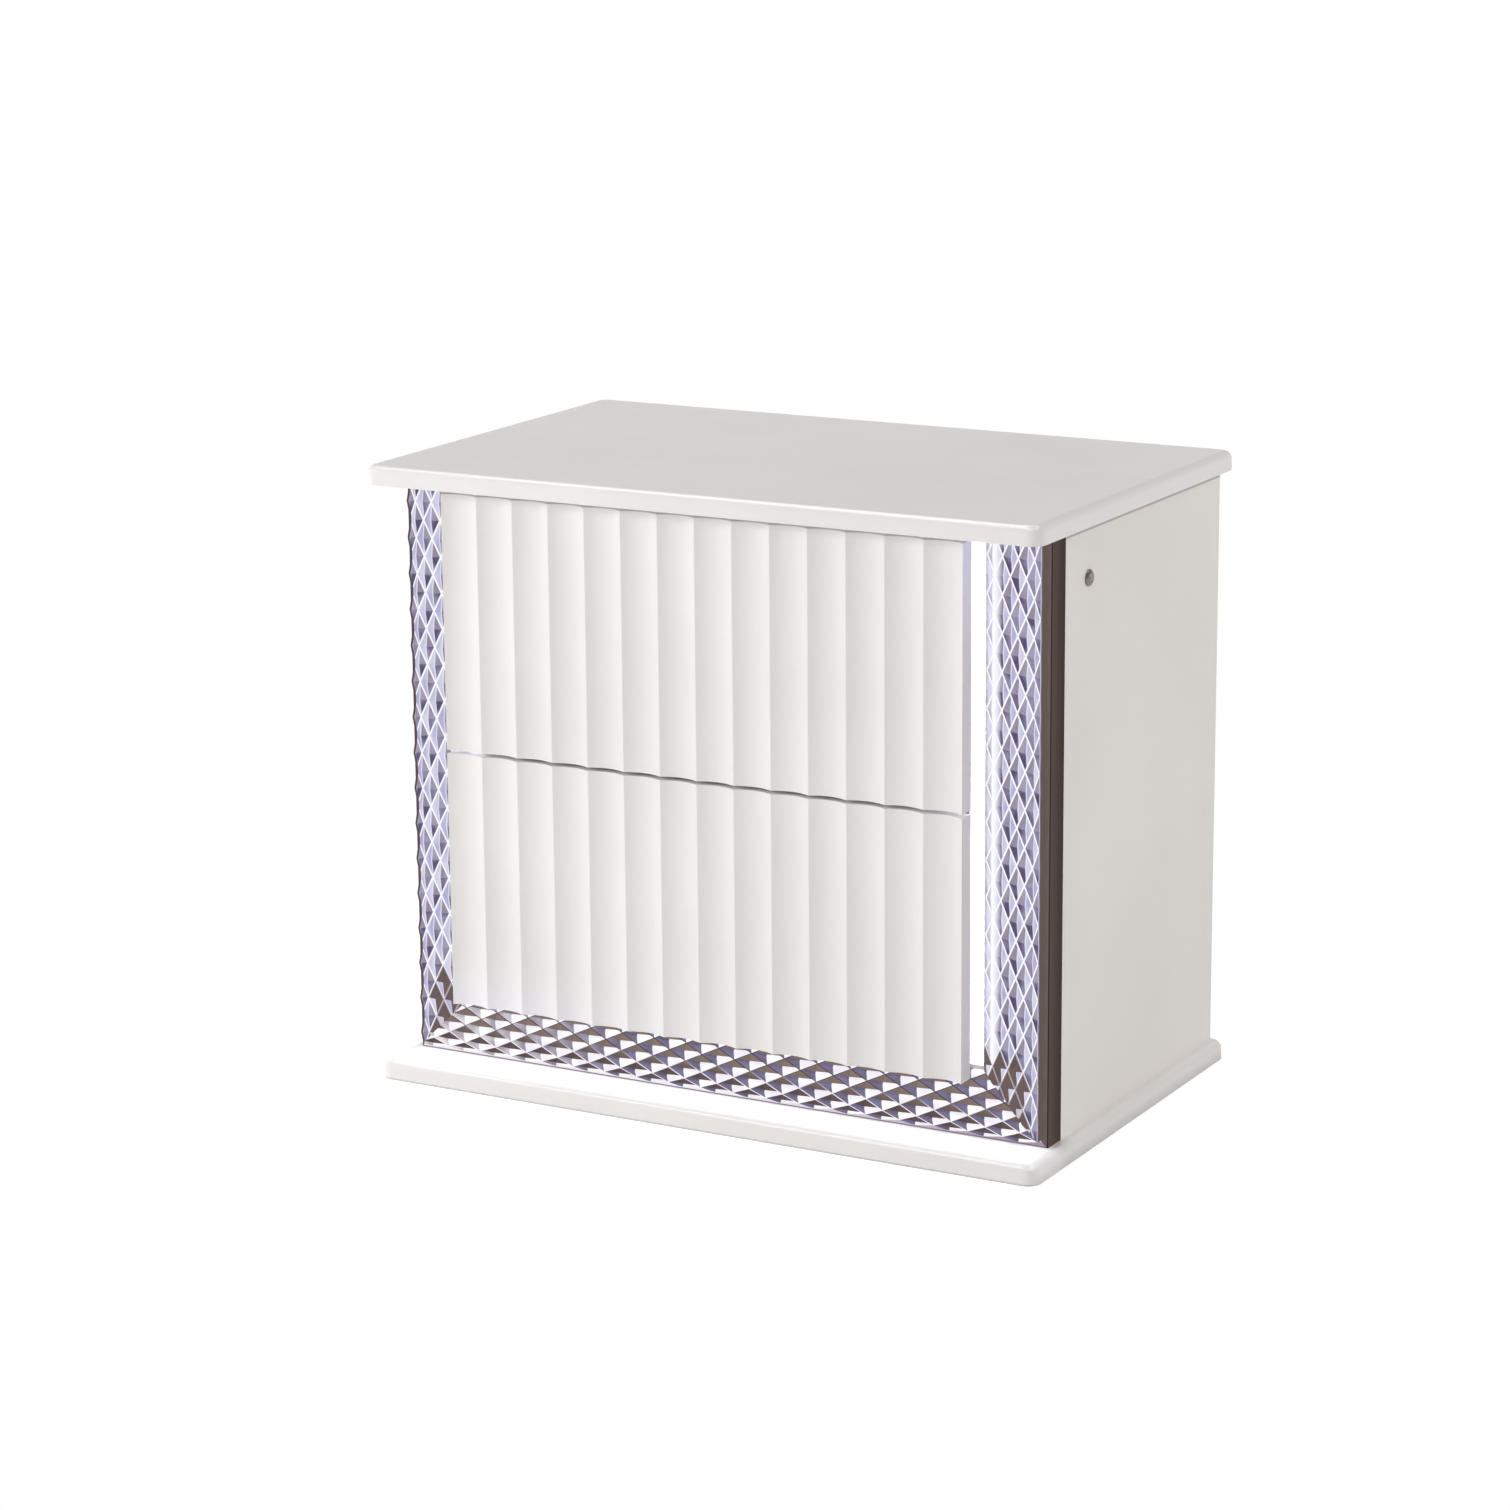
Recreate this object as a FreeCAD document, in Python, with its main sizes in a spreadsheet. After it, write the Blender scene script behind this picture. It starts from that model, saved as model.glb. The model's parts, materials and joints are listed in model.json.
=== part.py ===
import FreeCAD, Part
import math
import os
import re

import Sketcher

# Nightstand with two fluted drawers in a lit frame of mirror mouldings with raised diamonds.
# Millimetres. The origin is under the middle of the base slab: X runs to the right side,
# Y runs from the front to the back and Z runs up.

# Driving sizes
SIZES = {
    # Top and base slabs
    "slab_width": 686,
    "slab_depth": 430,
    "slab_thick": 18,
    "slab_corner": 13,
    "slab_round": 8,
    "total_height": 590,
    # Carcass boards
    "body_width": 660,
    "front_setback": 54,
    "back_setback": 7.5,
    "panel_thick": 16,
    "rail_depth": 80,
    "back_thick": 5,
    "back_inset": 4,
    "rebate_depth": 8,
    "fit_gap": 0.2,
    # Moulding with raised diamonds
    "moulding_width": 62.5,
    "moulding_leg": 28,
    "moulding_wall": 3,
    "moulding_sink": 5,
    "flange_width": 7.2,
    "flange_corner": 2,
    "corner_bends": 4,
    "shoulder_step": 6.1,
    "shoulder_scallop": 1.6,
    "outer_rise": 7,
    "inner_rise": -2,
    "band_bulge": 1.5,
    "diamond_columns": 7,
    "diamond_length": 34.3,
    "diamond_rise": 2.6,
    "upright_start": 0.9,
    "bottom_start": 1.5,
    "mitre_gap": 0.1,
    # Light
    "led_depth": 10,
    "led_wall": 1.2,
    "led_lift": 6,
    "diffuser_thick": 1.4,
    "diffuser_clip": 4,
    "strip_width": 10,
    "strip_thick": 0.6,
    "chip_size": 5,
    "chip_rise": 1.4,
    "chip_pitch": 16.6,
    # Drawer fronts
    "front_width": 531,
    "front_thick": 18,
    "front_standoff": 24.5,
    "front_lift": 0.5,
    "front_seam": 3.5,
    "front_top_gap": 3,
    "flute_count": 14,
    "flute_depth": 5,
    "ridge_flat": 0.8,
    # Drawer boxes
    "box_thick": 12,
    "box_height": 185,
    "box_depth": 340,
    "box_lift": 16,
    "box_edge": 1.6,
    "bottom_thick": 5,
    "bottom_lift": 10,
    "groove_depth": 6,
    # Runners
    "runner_thick": 12.7,
    "runner_height": 45,
    "runner_length": 300,
    "runner_wall": 1.2,
    "runner_gap": 0.4,
    "runner_setback": 2,
    "runner_lift": 92,
    "middle_offset": 4,
    # Fasteners
    "dowel_diameter": 8,
    "dowel_length": 30,
    "dowel_depth": 11,
    "dowel_inset": 24,
    "rail_dowel_inset": 16,
    "pin_sides": 8,
    "cam_diameter": 15,
    "cam_depth": 12.5,
    "cam_distance": 34,
    "cam_inset": 66,
    "cam_slot": 1.2,
    "bolt_diameter": 7,
    "bolt_thread": 5,
    "bolt_grip": 11,
    # Touch button, dimmer and power inlet
    "button_diameter": 15.2,
    "button_rise": 3.4,
    "button_bevel": 2,
    "button_stem": 8,
    "button_length": 24,
    "button_setback": 76,
    "button_drop": 50.4,
    "nut_width": 13,
    "nut_thick": 5,
    "dimmer_length": 70,
    "dimmer_height": 36,
    "dimmer_thick": 20,
    "dimmer_drop": 70,
    "dimmer_setback": 100,
    "dimmer_edge": 2,
    "inlet_diameter": 11,
    "inlet_flange": 16,
    "inlet_rise": 1.5,
    "inlet_length": 20,
    "inlet_bore": 5.6,
    "inlet_depth": 12,
    "inlet_pin": 2,
    "inlet_height": 120,
}

# Places and lengths that follow from the driving sizes
PLACES = {
    "half_body": "body_width / 2",
    "flange_y": "front_setback - slab_depth / 2",
    "leg_y": "flange_y + moulding_leg",
    "backing_y": "flange_y + moulding_sink",
    "led_back_y": "flange_y + led_depth",
    "body_back_y": "slab_depth / 2 - back_setback",
    "back_rear_y": "body_back_y - back_inset",
    "back_front_y": "back_rear_y - back_thick",
    "rail_back_y": "led_back_y + rail_depth",
    "floor_z": "slab_thick",
    "ceiling_z": "total_height - slab_thick",
    "body_height": "ceiling_z - floor_z",
    "leg_top_z": "floor_z + moulding_wall",
    "moulding_top_z": "floor_z + moulding_width",
    "led_bottom_z": "moulding_top_z + led_lift",
    "led_length": "ceiling_z - led_bottom_z",
    "panel_in_x": "half_body - panel_thick",
    "panel_mid_x": "half_body - panel_thick / 2",
    "rebate_x": "panel_in_x + rebate_depth",
    "partition_out_x": "half_body - moulding_width",
    "partition_in_x": "partition_out_x - panel_thick",
    "partition_mid_x": "partition_out_x - panel_thick / 2",
    "front_back_y": "flange_y - front_standoff",
    "front_face_y": "front_back_y - front_thick",
    "lower_front_z": "moulding_top_z + front_lift",
    "front_height": "(ceiling_z - front_top_gap - lower_front_z - front_seam) / 2",
    "upper_front_z": "lower_front_z + front_height + front_seam",
    "flute_pitch": "front_width / flute_count",
    "flute_chord": "flute_pitch - ridge_flat",
    "flute_radius": "flute_chord ^ 2 / (8 * flute_depth) + flute_depth / 2",
    "middle_rail_z": "upper_front_z - front_seam / 2 - panel_thick / 2",
    "top_rail_z": "ceiling_z - panel_thick",
    "lower_box_z": "lower_front_z + box_lift",
    "upper_box_z": "upper_front_z + box_lift",
    "box_half": "partition_in_x - runner_thick",
    "box_in_x": "box_half - box_thick",
    "box_front_y": "front_back_y + box_thick",
    "box_back_y": "front_back_y + box_depth",
    "box_rear_y": "box_back_y - box_thick",
    "runner_front_y": "led_back_y + runner_setback",
    "runner_back_y": "runner_front_y + runner_length",
    "outer_half": "runner_height / 2",
    "middle_half": "outer_half - runner_wall - runner_gap",
    "inner_half": "middle_half - runner_wall - runner_gap",
    "middle_web_x": "partition_in_x - middle_offset",
    "runner_lip_x": "box_half + runner_wall + runner_gap",
    "inner_lip_x": "middle_web_x - runner_wall - runner_gap",
    "button_y": "flange_y + button_setback",
    "button_z": "ceiling_z - button_drop",
    "dimmer_top_z": "button_z - dimmer_drop + dimmer_height",
    "dimmer_front_y": "flange_y + dimmer_setback",
    "inlet_x": "(partition_out_x + panel_in_x) / 2",
}

document = FreeCAD.newDocument("nightstand")
kept = []


def named(formula, sheets=(("Sizes.", SIZES), ("Places.", PLACES))):
    """Write the sheet's name before each size in a formula, such as Sizes.slab_width."""
    def full_name(match):
        word = match.group()
        for prefix, names in sheets:
            if word in names:
                return prefix + word
        return word
    return re.sub(r"[a-z_]+", full_name, formula)


def fill_sheet(title, cells):
    """Make a spreadsheet with one named cell in each row."""
    sheet = document.addObject("Spreadsheet::Sheet", title)
    for row, (alias, content) in enumerate(cells.items(), start=1):
        sheet.set(f"A{row}", alias)
        sheet.set(f"B{row}", content)
        sheet.setAlias(f"B{row}", alias)
    document.recompute()
    return sheet


size = fill_sheet("Sizes", {alias: str(number) for alias, number in SIZES.items()})
place = fill_sheet("Places", {alias: "=" + named(formula, (("Sizes.", SIZES),))
                              for alias, formula in PLACES.items()})

TURNS = {
    "+x": FreeCAD.Rotation(FreeCAD.Vector(0, 1, 0), 90),
    "-x": FreeCAD.Rotation(FreeCAD.Vector(0, 1, 0), -90),
    "+y": FreeCAD.Rotation(FreeCAD.Vector(1, 0, 0), -90),
    "-y": FreeCAD.Rotation(FreeCAD.Vector(1, 0, 0), 90),
    "+z": FreeCAD.Rotation(),
    "-z": FreeCAD.Rotation(FreeCAD.Vector(1, 0, 0), 180),
}
SIGNS = (-1, 1)
LEVELS = ("lower", "upper")
THROUGH_ALL = 1
TINY = 1e-4


def value(formula):
    """The number that a formula gives."""
    return float(place.evalExpression(named(formula)))


def bind(piece, field, formula):
    """Tie one field of a piece to a formula on the sheets' names."""
    piece.setExpression(field, named(formula))


def seat(piece, x=None, y=None, z=None):
    """Tie the place of a piece to formulas."""
    for letter, formula in (("x", x), ("y", y), ("z", z)):
        if formula is not None:
            bind(piece, "Placement.Base." + letter, formula)


def keep(*pieces):
    """Put finished sub-parts on the list that is written out."""
    kept.extend(pieces)


def board(name, x, y, z):
    """A flat board between two formulas on each axis."""
    piece = document.addObject("Part::Box", name)
    bind(piece, "Length", f"({x[1]}) - ({x[0]})")
    bind(piece, "Width", f"({y[1]}) - ({y[0]})")
    bind(piece, "Height", f"({z[1]}) - ({z[0]})")
    seat(piece, x=x[0], y=y[0], z=z[0])
    return piece


def between(half):
    """The two ends of what reaches equally far to the left and to the right."""
    return (f"-({half})", half)


def rod(name, radius, length, way, **spot):
    """A round rod that starts at a spot and points along an axis."""
    piece = document.addObject("Part::Cylinder", name)
    bind(piece, "Radius", radius)
    bind(piece, "Height", length)
    piece.Placement = FreeCAD.Placement(FreeCAD.Vector(), TURNS[way])
    seat(piece, **spot)
    return piece


def cut(name, base, *tools):
    """The base less all the tools."""
    tool = tools[0]
    if len(tools) > 1:
        tool = document.addObject("Part::Compound", name + "_tools")
        tool.Links = list(tools)
    piece = document.addObject("Part::Cut", name)
    piece.Base = base
    piece.Tool = tool
    return piece


def mirrored(name, source):
    """The left piece that mirrors a right one."""
    piece = document.addObject("Part::Mirroring", name)
    piece.Source = source
    piece.Normal = FreeCAD.Vector(1, 0, 0)
    return piece


def shaped(name, shape):
    """A piece whose shape is worked out in this script."""
    piece = document.addObject("Part::Feature", name)
    piece.Shape = shape
    return piece


def new_sketch(body, name, role):
    """An empty sketch on one of the body's origin planes."""
    sketch = body.newObject("Sketcher::SketchObject", name)
    plane = next(part for part in body.Origin.OriginFeatures if part.Role == role)
    sketch.AttachmentSupport = [(plane, "")]
    sketch.MapMode = "FlatFace"
    return sketch


def hold(sketch, name, formula, *constraint):
    """Add a constraint to a sketch and tie its value to a formula."""
    number = sketch.addConstraint(Sketcher.Constraint(*constraint, value(formula)))
    sketch.renameConstraint(number, name)
    bind(sketch, "Constraints." + name, formula)


def outline_sketch(body, name, corners, role):
    """A closed outline, each corner held by two formulas."""
    sketch = new_sketch(body, name, role)
    spots = [FreeCAD.Vector(value(x), value(y), 0) for x, y in corners]
    for start, end in zip(spots, spots[1:] + spots[:1]):
        sketch.addGeometry(Part.LineSegment(start, end), False)
    count = len(corners)
    for index in range(count):
        sketch.addConstraint(Sketcher.Constraint("Coincident", index, 2, (index + 1) % count, 1))
    for index, (x, y) in enumerate(corners):
        hold(sketch, f"across{index}", x, "DistanceX", -1, 1, index, 1)
        hold(sketch, f"along{index}", y, "DistanceY", -1, 1, index, 1)
    return sketch


def padded(name, corners, length, role="XY_Plane"):
    """A body made by padding an outline along the normal of its plane."""
    body = document.addObject("PartDesign::Body", name)
    pad = body.newObject("PartDesign::Pad", name + "_pad")
    pad.Profile = outline_sketch(body, name + "_outline", corners, role)
    bind(pad, "Length", length)
    body.Tip = pad
    document.recompute()
    return body


def turned(name, corners):
    """A body made by turning an outline about the Z axis."""
    body = document.addObject("PartDesign::Body", name)
    sketch = outline_sketch(body, name + "_outline", corners, "XZ_Plane")
    turn = body.newObject("PartDesign::Revolution", name + "_turn")
    turn.Profile = sketch
    turn.ReferenceAxis = (sketch, ["V_Axis"])
    turn.Angle = 360
    body.Tip = turn
    document.recompute()
    return body


def dressed(body, kind, field, formula, choose):
    """Dress those edges of a body whose bounds pass the given test."""
    base = body.Tip
    picked = [f"Edge{number}" for number, edge in enumerate(base.Shape.Edges, start=1)
              if choose(edge.BoundBox)]
    feature = body.newObject("PartDesign::" + kind, base.Name + "_dressed")
    feature.Base = (base, picked)
    bind(feature, field, formula)
    body.Tip = feature
    document.recompute()


def rounded(body, radius, choose):
    """Round the edges that pass the test."""
    dressed(body, "Fillet", "Radius", radius, choose)


def bevelled(body, width, choose):
    """Bevel the edges that pass the test."""
    dressed(body, "Chamfer", "Size", width, choose)


def upright(box):
    """True for the bounds of an edge that runs along Z."""
    return box.ZLength > 1 and max(box.XLength, box.YLength) < TINY


def repeated(body, feature, axis, length, count):
    """Copies of a feature in a row along an axis of its sketch."""
    pattern = body.newObject("PartDesign::LinearPattern", feature.Name + "_row")
    pattern.Originals = [feature]
    pattern.Direction = (feature.Profile[0], [axis])
    bind(pattern, "Length", length)
    bind(pattern, "Occurrences", count)
    body.Tip = pattern
    document.recompute()


def copies(shape, spots):
    """Copies of a shape that is built along Z, each turned and moved to its spot."""
    placed = []
    for x, y, z, way in spots:
        one = shape.copy()
        one.Placement = FreeCAD.Placement(FreeCAD.Vector(x, y, z), TURNS[way])
        placed.append(one)
    return Part.makeCompound(placed)


def flat_face(corners):
    """A flat face round its corners."""
    return Part.Face(Part.makePolygon(corners + corners[:1]))


def pin(*steps, room=0):
    """A pin along Z from steps of radius, start and end, with many flat sides, not round ones."""
    sides = int(size.pin_sides)
    rods = []
    for radius, start, end in steps:
        corners = []
        for index in range(sides):
            angle = 2 * math.pi * index / sides
            corners.append(FreeCAD.Vector((radius + room) * math.cos(angle),
                                          (radius + room) * math.sin(angle), start))
        rods.append(flat_face(corners).extrude(FreeCAD.Vector(0, 0, end - start)))
    return rods[0].multiFuse(rods[1:]) if len(rods) > 1 else rods[0]


gap = size.fit_gap

# Dowels: beech pins that carry the partitions on the slabs and the rails on the partitions
dowel_spots = []
for sign in SIGNS:
    for y in (place.leg_y + size.dowel_inset, place.back_front_y - size.dowel_inset):
        x = sign * place.partition_mid_x
        dowel_spots.append((x, y, place.floor_z - size.dowel_depth, "+z"))
        dowel_spots.append((x, y, place.ceiling_z + size.dowel_depth, "-z"))
    x = sign * (place.partition_in_x + size.dowel_depth)
    inward = "-x" if sign > 0 else "+x"
    for y in (place.led_back_y + size.dowel_inset, place.rail_back_y - size.dowel_inset):
        for rail_z in (place.middle_rail_z, place.top_rail_z):
            dowel_spots.append((x, y, rail_z + size.panel_thick / 2, inward))
    for z in (place.leg_top_z + size.rail_dowel_inset, place.moulding_top_z - size.rail_dowel_inset):
        dowel_spots.append((x, (place.backing_y + place.leg_y) / 2, z, inward))

dowel = pin((size.dowel_diameter / 2, 0, size.dowel_length))
dowel_hole = pin((size.dowel_diameter / 2, -gap, size.dowel_length + gap), room=gap)
dowel_holes = shaped("dowel_holes", copies(dowel_hole, dowel_spots))
keep(shaped("dowels", copies(dowel, dowel_spots)))

# Cam bolts, screwed into the slabs, and the cam discs that pull on their heads
thread = size.bolt_thread / 2
stem = size.bolt_diameter / 2
neck_low = size.cam_distance - size.cam_diameter / 2
neck_high = size.cam_distance - stem
bolt = pin((thread, -size.bolt_grip, 0), (stem, 0, neck_low), (thread, neck_low, neck_high),
           (stem, neck_high, size.cam_distance))
bolt_hole = pin((thread, -size.bolt_grip - gap, 0), (stem, 0, size.cam_distance), room=gap)
cam_ys = (place.leg_y + size.cam_inset, place.body_back_y - size.cam_inset)
bolt_spots = [(sign * place.panel_mid_x, y, z, way) for sign in SIGNS for y in cam_ys
              for z, way in ((place.floor_z, "+z"), (place.ceiling_z, "-z"))]
bolt_holes = shaped("bolt_holes", copies(bolt_hole, bolt_spots))
keep(shaped("cam_bolts", copies(bolt, bolt_spots)))


def cam_disc():
    """A disc that is open towards its bolt's head, with a slot for the screwdriver."""
    radius = size.cam_diameter / 2
    axis_depth = size.panel_thick / 2
    disc = pin((radius, 0, size.cam_depth - gap), room=-gap)
    mouth = pin((stem, -stem, radius), room=gap)
    mouth.Placement = FreeCAD.Placement(FreeCAD.Vector(0, 0, axis_depth), TURNS["+x"])
    slot_corner = FreeCAD.Vector(-radius / 2, -size.cam_slot / 2, 0)
    slot = Part.makeBox(radius, size.cam_slot, size.cam_slot, slot_corner)
    return disc.cut(mouth).cut(slot)


def at_cams(shape):
    """Copies of a cam shape in the side panels' inner faces, the mouth of each at its slab."""
    placed = []
    for sign in SIGNS:
        for y in cam_ys:
            for z, above in ((place.floor_z + size.cam_distance, 1),
                             (place.ceiling_z - size.cam_distance, -1)):
                one = shape.copy()
                spin = FreeCAD.Rotation(FreeCAD.Vector(0, 0, 1), 0 if sign * above > 0 else 180)
                turn = TURNS["+x" if sign > 0 else "-x"] * spin
                one.Placement = FreeCAD.Placement(FreeCAD.Vector(sign * place.panel_in_x, y, z), turn)
                placed.append(one)
    return Part.makeCompound(placed)


cam_bores = shaped("cam_bores", at_cams(pin((size.cam_diameter / 2, 0, size.cam_depth))))
keep(shaped("cam_discs", at_cams(cam_disc())))


def slab(name, level):
    """A slab with round corners and a round-over along its top edge."""
    left, right = between("slab_width / 2")
    front, back = between("slab_depth / 2")
    body = padded(name + "_board", [(left, front), (right, front), (right, back), (left, back)],
                  "slab_thick")
    rounded(body, "slab_corner", upright)
    rounded(body, "slab_round", lambda box: box.ZMin > size.slab_thick - TINY)
    seat(body, z=level)
    keep(cut(name, body, dowel_holes, bolt_holes))


slab("base_slab", "0")
slab("top_slab", "ceiling_z")

# Touch button on the right side panel: a domed head on a stem, held by a nut inside
button_head = "button_diameter / 2"
button = turned("touch_button", [("0", "-button_rise"), (button_head + " - button_bevel", "-button_rise"),
                                 (button_head, "button_bevel - button_rise"), (button_head, "0"),
                                 ("button_stem / 2", "0"), ("button_stem / 2", "button_length"),
                                 ("0", "button_length")])
button.Placement = FreeCAD.Placement(FreeCAD.Vector(), TURNS["-x"])
seat(button, x="half_body", y="button_y", z="button_z")
button_hole = rod("button_hole", "button_stem / 2 + fit_gap", "button_length + nut_thick", "-x",
                  x="half_body", y="button_y", z="button_z")
nut = document.addObject("Part::Prism", "nut")
nut.Polygon = 6
bind(nut, "Circumradius", "nut_width / sqrt(3)")
bind(nut, "Height", "nut_thick")
nut.Placement = FreeCAD.Placement(FreeCAD.Vector(), TURNS["-x"])
seat(nut, x="panel_in_x", y="button_y", z="button_z")
keep(button, cut("touch_button_nut", nut, button_hole))

# Dimmer module on the right side panel's inner face
dimmer_back = "dimmer_front_y + dimmer_length"
dimmer = padded("dimmer_module", [("panel_in_x - dimmer_thick", "dimmer_front_y"),
                                  ("panel_in_x", "dimmer_front_y"), ("panel_in_x", dimmer_back),
                                  ("panel_in_x - dimmer_thick", dimmer_back)], "dimmer_height")
rounded(dimmer, "dimmer_edge", lambda box: upright(box) and box.XMax < place.panel_in_x - TINY)
seat(dimmer, z="dimmer_top_z - dimmer_height")
keep(dimmer)

# Side panels, rebated for the back panel
side_board = padded("side_board", [("panel_in_x", "leg_y"), ("half_body", "leg_y"),
                                   ("half_body", "body_back_y"), ("rebate_x", "body_back_y"),
                                   ("rebate_x", "back_front_y"), ("panel_in_x", "back_front_y")],
                    "body_height")
seat(side_board, z="floor_z")
drilled_side = cut("drilled_side", side_board, bolt_holes, cam_bores)
keep(mirrored("left_side_panel", drilled_side), cut("right_side_panel", drilled_side, button_hole))

# Partitions: notched for the bottom moulding's leg and for the light channel
partition_board = padded("partition_board",
                         [("backing_y", "leg_top_z"), ("leg_y", "leg_top_z"), ("leg_y", "floor_z"),
                          ("back_front_y", "floor_z"), ("back_front_y", "ceiling_z"),
                          ("led_back_y", "ceiling_z"), ("led_back_y", "led_bottom_z"),
                          ("backing_y", "led_bottom_z")],
                         "panel_thick", "YZ_Plane")
seat(partition_board, x="partition_in_x")
right_partition = cut("right_partition", partition_board, dowel_holes)
keep(mirrored("left_partition", right_partition), right_partition)

# Boards behind the mouldings, and the rails
right_stile = board("right_stile", ("partition_out_x", "half_body - moulding_wall - fit_gap"),
                    ("backing_y", "leg_y"), ("leg_top_z", "ceiling_z"))
keep(mirrored("left_stile", right_stile), right_stile)
rail_x = between("partition_in_x")
rail_y = ("led_back_y", "rail_back_y")
bottom_rail = board("bottom_rail_board", rail_x, ("backing_y", "leg_y"), ("leg_top_z", "moulding_top_z"))
middle_rail = board("middle_rail_board", rail_x, rail_y, ("middle_rail_z", "middle_rail_z + panel_thick"))
top_rail = board("top_rail_board", rail_x, rail_y, ("top_rail_z", "ceiling_z"))
keep(cut("bottom_rail", bottom_rail, dowel_holes), cut("middle_rail", middle_rail, dowel_holes),
     cut("top_rail", top_rail, dowel_holes))

# Back panel with the power inlet: a barrel with its pin, open to the back
inlet = turned("power_inlet", [("0", "0"), ("inlet_pin / 2", "0"), ("inlet_pin / 2", "inlet_depth"),
                               ("inlet_bore / 2", "inlet_depth"), ("inlet_bore / 2", "-inlet_rise"),
                               ("inlet_flange / 2", "-inlet_rise"), ("inlet_flange / 2", "0"),
                               ("inlet_diameter / 2", "0"), ("inlet_diameter / 2", "inlet_length"),
                               ("0", "inlet_length")])
inlet.Placement = FreeCAD.Placement(FreeCAD.Vector(), TURNS["-y"])
seat(inlet, x="inlet_x", y="back_rear_y", z="inlet_height")
inlet_hole = rod("inlet_hole", "inlet_diameter / 2 + fit_gap", "inlet_length", "-y",
                 x="inlet_x", y="back_rear_y", z="inlet_height")
back_board = board("back_board", between("rebate_x - fit_gap"), ("back_front_y", "back_rear_y"),
                   ("floor_z", "ceiling_z"))
keep(inlet, cut("back_panel", back_board, inlet_hole))


def moulding_solid(start, end):
    """The moulding along Z: outer edge at X 0, flange plane at Y 0, band towards -X and -Y.

    The band is a net of points at half a diamond's length and at each column's edge. Every
    second point is the top of a diamond, and four flat facets fall from it to the grooves.
    At the outer shoulder the tops stand out over the flange in a row of scallops.
    """
    half = size.diamond_length / 2
    columns = int(size.diamond_columns)
    first = size.flange_width + size.shoulder_step
    column_width = (size.moulding_width - first) / (columns - 1)
    across = [size.flange_width] + [first + index * column_width for index in range(columns)]
    rows = math.ceil((end - start) / half) + 1
    band_width = size.moulding_width - size.flange_width

    def foot(row):
        width = size.flange_width - (size.shoulder_scallop if row % 2 else 0)
        return FreeCAD.Vector(-width, 0, start + row * half)

    def net_point(column, row):
        share = (across[column] - size.flange_width) / band_width
        rise = size.outer_rise + (size.inner_rise - size.outer_rise) * share
        rise += 4 * size.band_bulge * share * (1 - share)
        if (column + row) % 2:
            rise += size.diamond_rise
        x = foot(row).x if column == 0 else -across[column]
        return FreeCAD.Vector(x, -rise, start + row * half)

    faces = []
    for row in range(rows + 1):
        for column in range((row + 1) % 2, columns + 1, 2):
            top = net_point(column, row)
            for side in SIGNS:
                for step in SIGNS:
                    if 0 <= column + side <= columns and 0 <= row + step <= rows:
                        faces.append(flat_face([top, net_point(column + side, row),
                                                net_point(column, row + step)]))

    section = [(-size.moulding_width, size.moulding_sink), (-size.moulding_wall, size.moulding_sink),
               (-size.moulding_wall, size.moulding_leg), (0, size.moulding_leg)]
    corner = size.flange_corner
    bends = int(size.corner_bends)
    for bend in range(bends + 1):
        angle = math.pi / 2 * bend / bends
        section.append((corner * (math.cos(angle) - 1), corner * (1 - math.sin(angle))))
    low = start
    high = start + rows * half
    for one, two in zip(section, section[1:]):
        faces.append(flat_face([FreeCAD.Vector(*one, low), FreeCAD.Vector(*two, low),
                                FreeCAD.Vector(*two, high), FreeCAD.Vector(*one, high)]))
    faces.append(flat_face([FreeCAD.Vector(-corner, 0, high), FreeCAD.Vector(-corner, 0, low)]
                           + [foot(row) for row in range(rows + 1)]))
    for row in range(rows):
        faces.append(flat_face([foot(row), foot(row + 1), net_point(0, row + 1), net_point(0, row)]))
    edge = [net_point(columns, row) for row in range(rows + 1)]
    faces.append(flat_face([FreeCAD.Vector(*section[0], low)] + edge
                           + [FreeCAD.Vector(*section[0], high)]))
    for row, level in ((0, low), (rows, high)):
        band = [net_point(column, row) for column in range(columns + 1)]
        faces.append(flat_face([FreeCAD.Vector(*spot, level) for spot in section]
                               + [foot(row)] + band))

    shell = Part.makeShell(faces)
    shell.sewShape()
    solid = Part.makeSolid(shell)
    if solid.Volume < 0:
        solid.reverse()
    return solid


def mitre(corners):
    """A deep prism over an outline in the plane of the front."""
    reach = size.moulding_leg + size.outer_rise + size.diamond_rise + size.band_bulge
    front = place.leg_y - 2 * reach
    face = flat_face([FreeCAD.Vector(x, front, z) for x, z in corners])
    return face.extrude(FreeCAD.Vector(0, 3 * reach, 0))


# Mouldings: two uprights and one along the bottom, mitred at the lower corners
spare = size.moulding_leg
miss = size.mitre_gap / math.sqrt(2)
upright_low = place.floor_z + size.upright_start - size.diamond_length
upright_moulding = moulding_solid(upright_low, place.ceiling_z + size.diamond_length)
upright_moulding.translate(FreeCAD.Vector(place.half_body, place.flange_y, 0))
upright_mitre = mitre([(place.half_body + spare, place.floor_z - spare + miss),
                       (place.half_body + spare, place.ceiling_z),
                       (place.partition_out_x - spare, place.ceiling_z),
                       (place.partition_out_x - spare, place.moulding_top_z + spare + miss)])
right_moulding = shaped("right_moulding", upright_moulding.common(upright_mitre))

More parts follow.
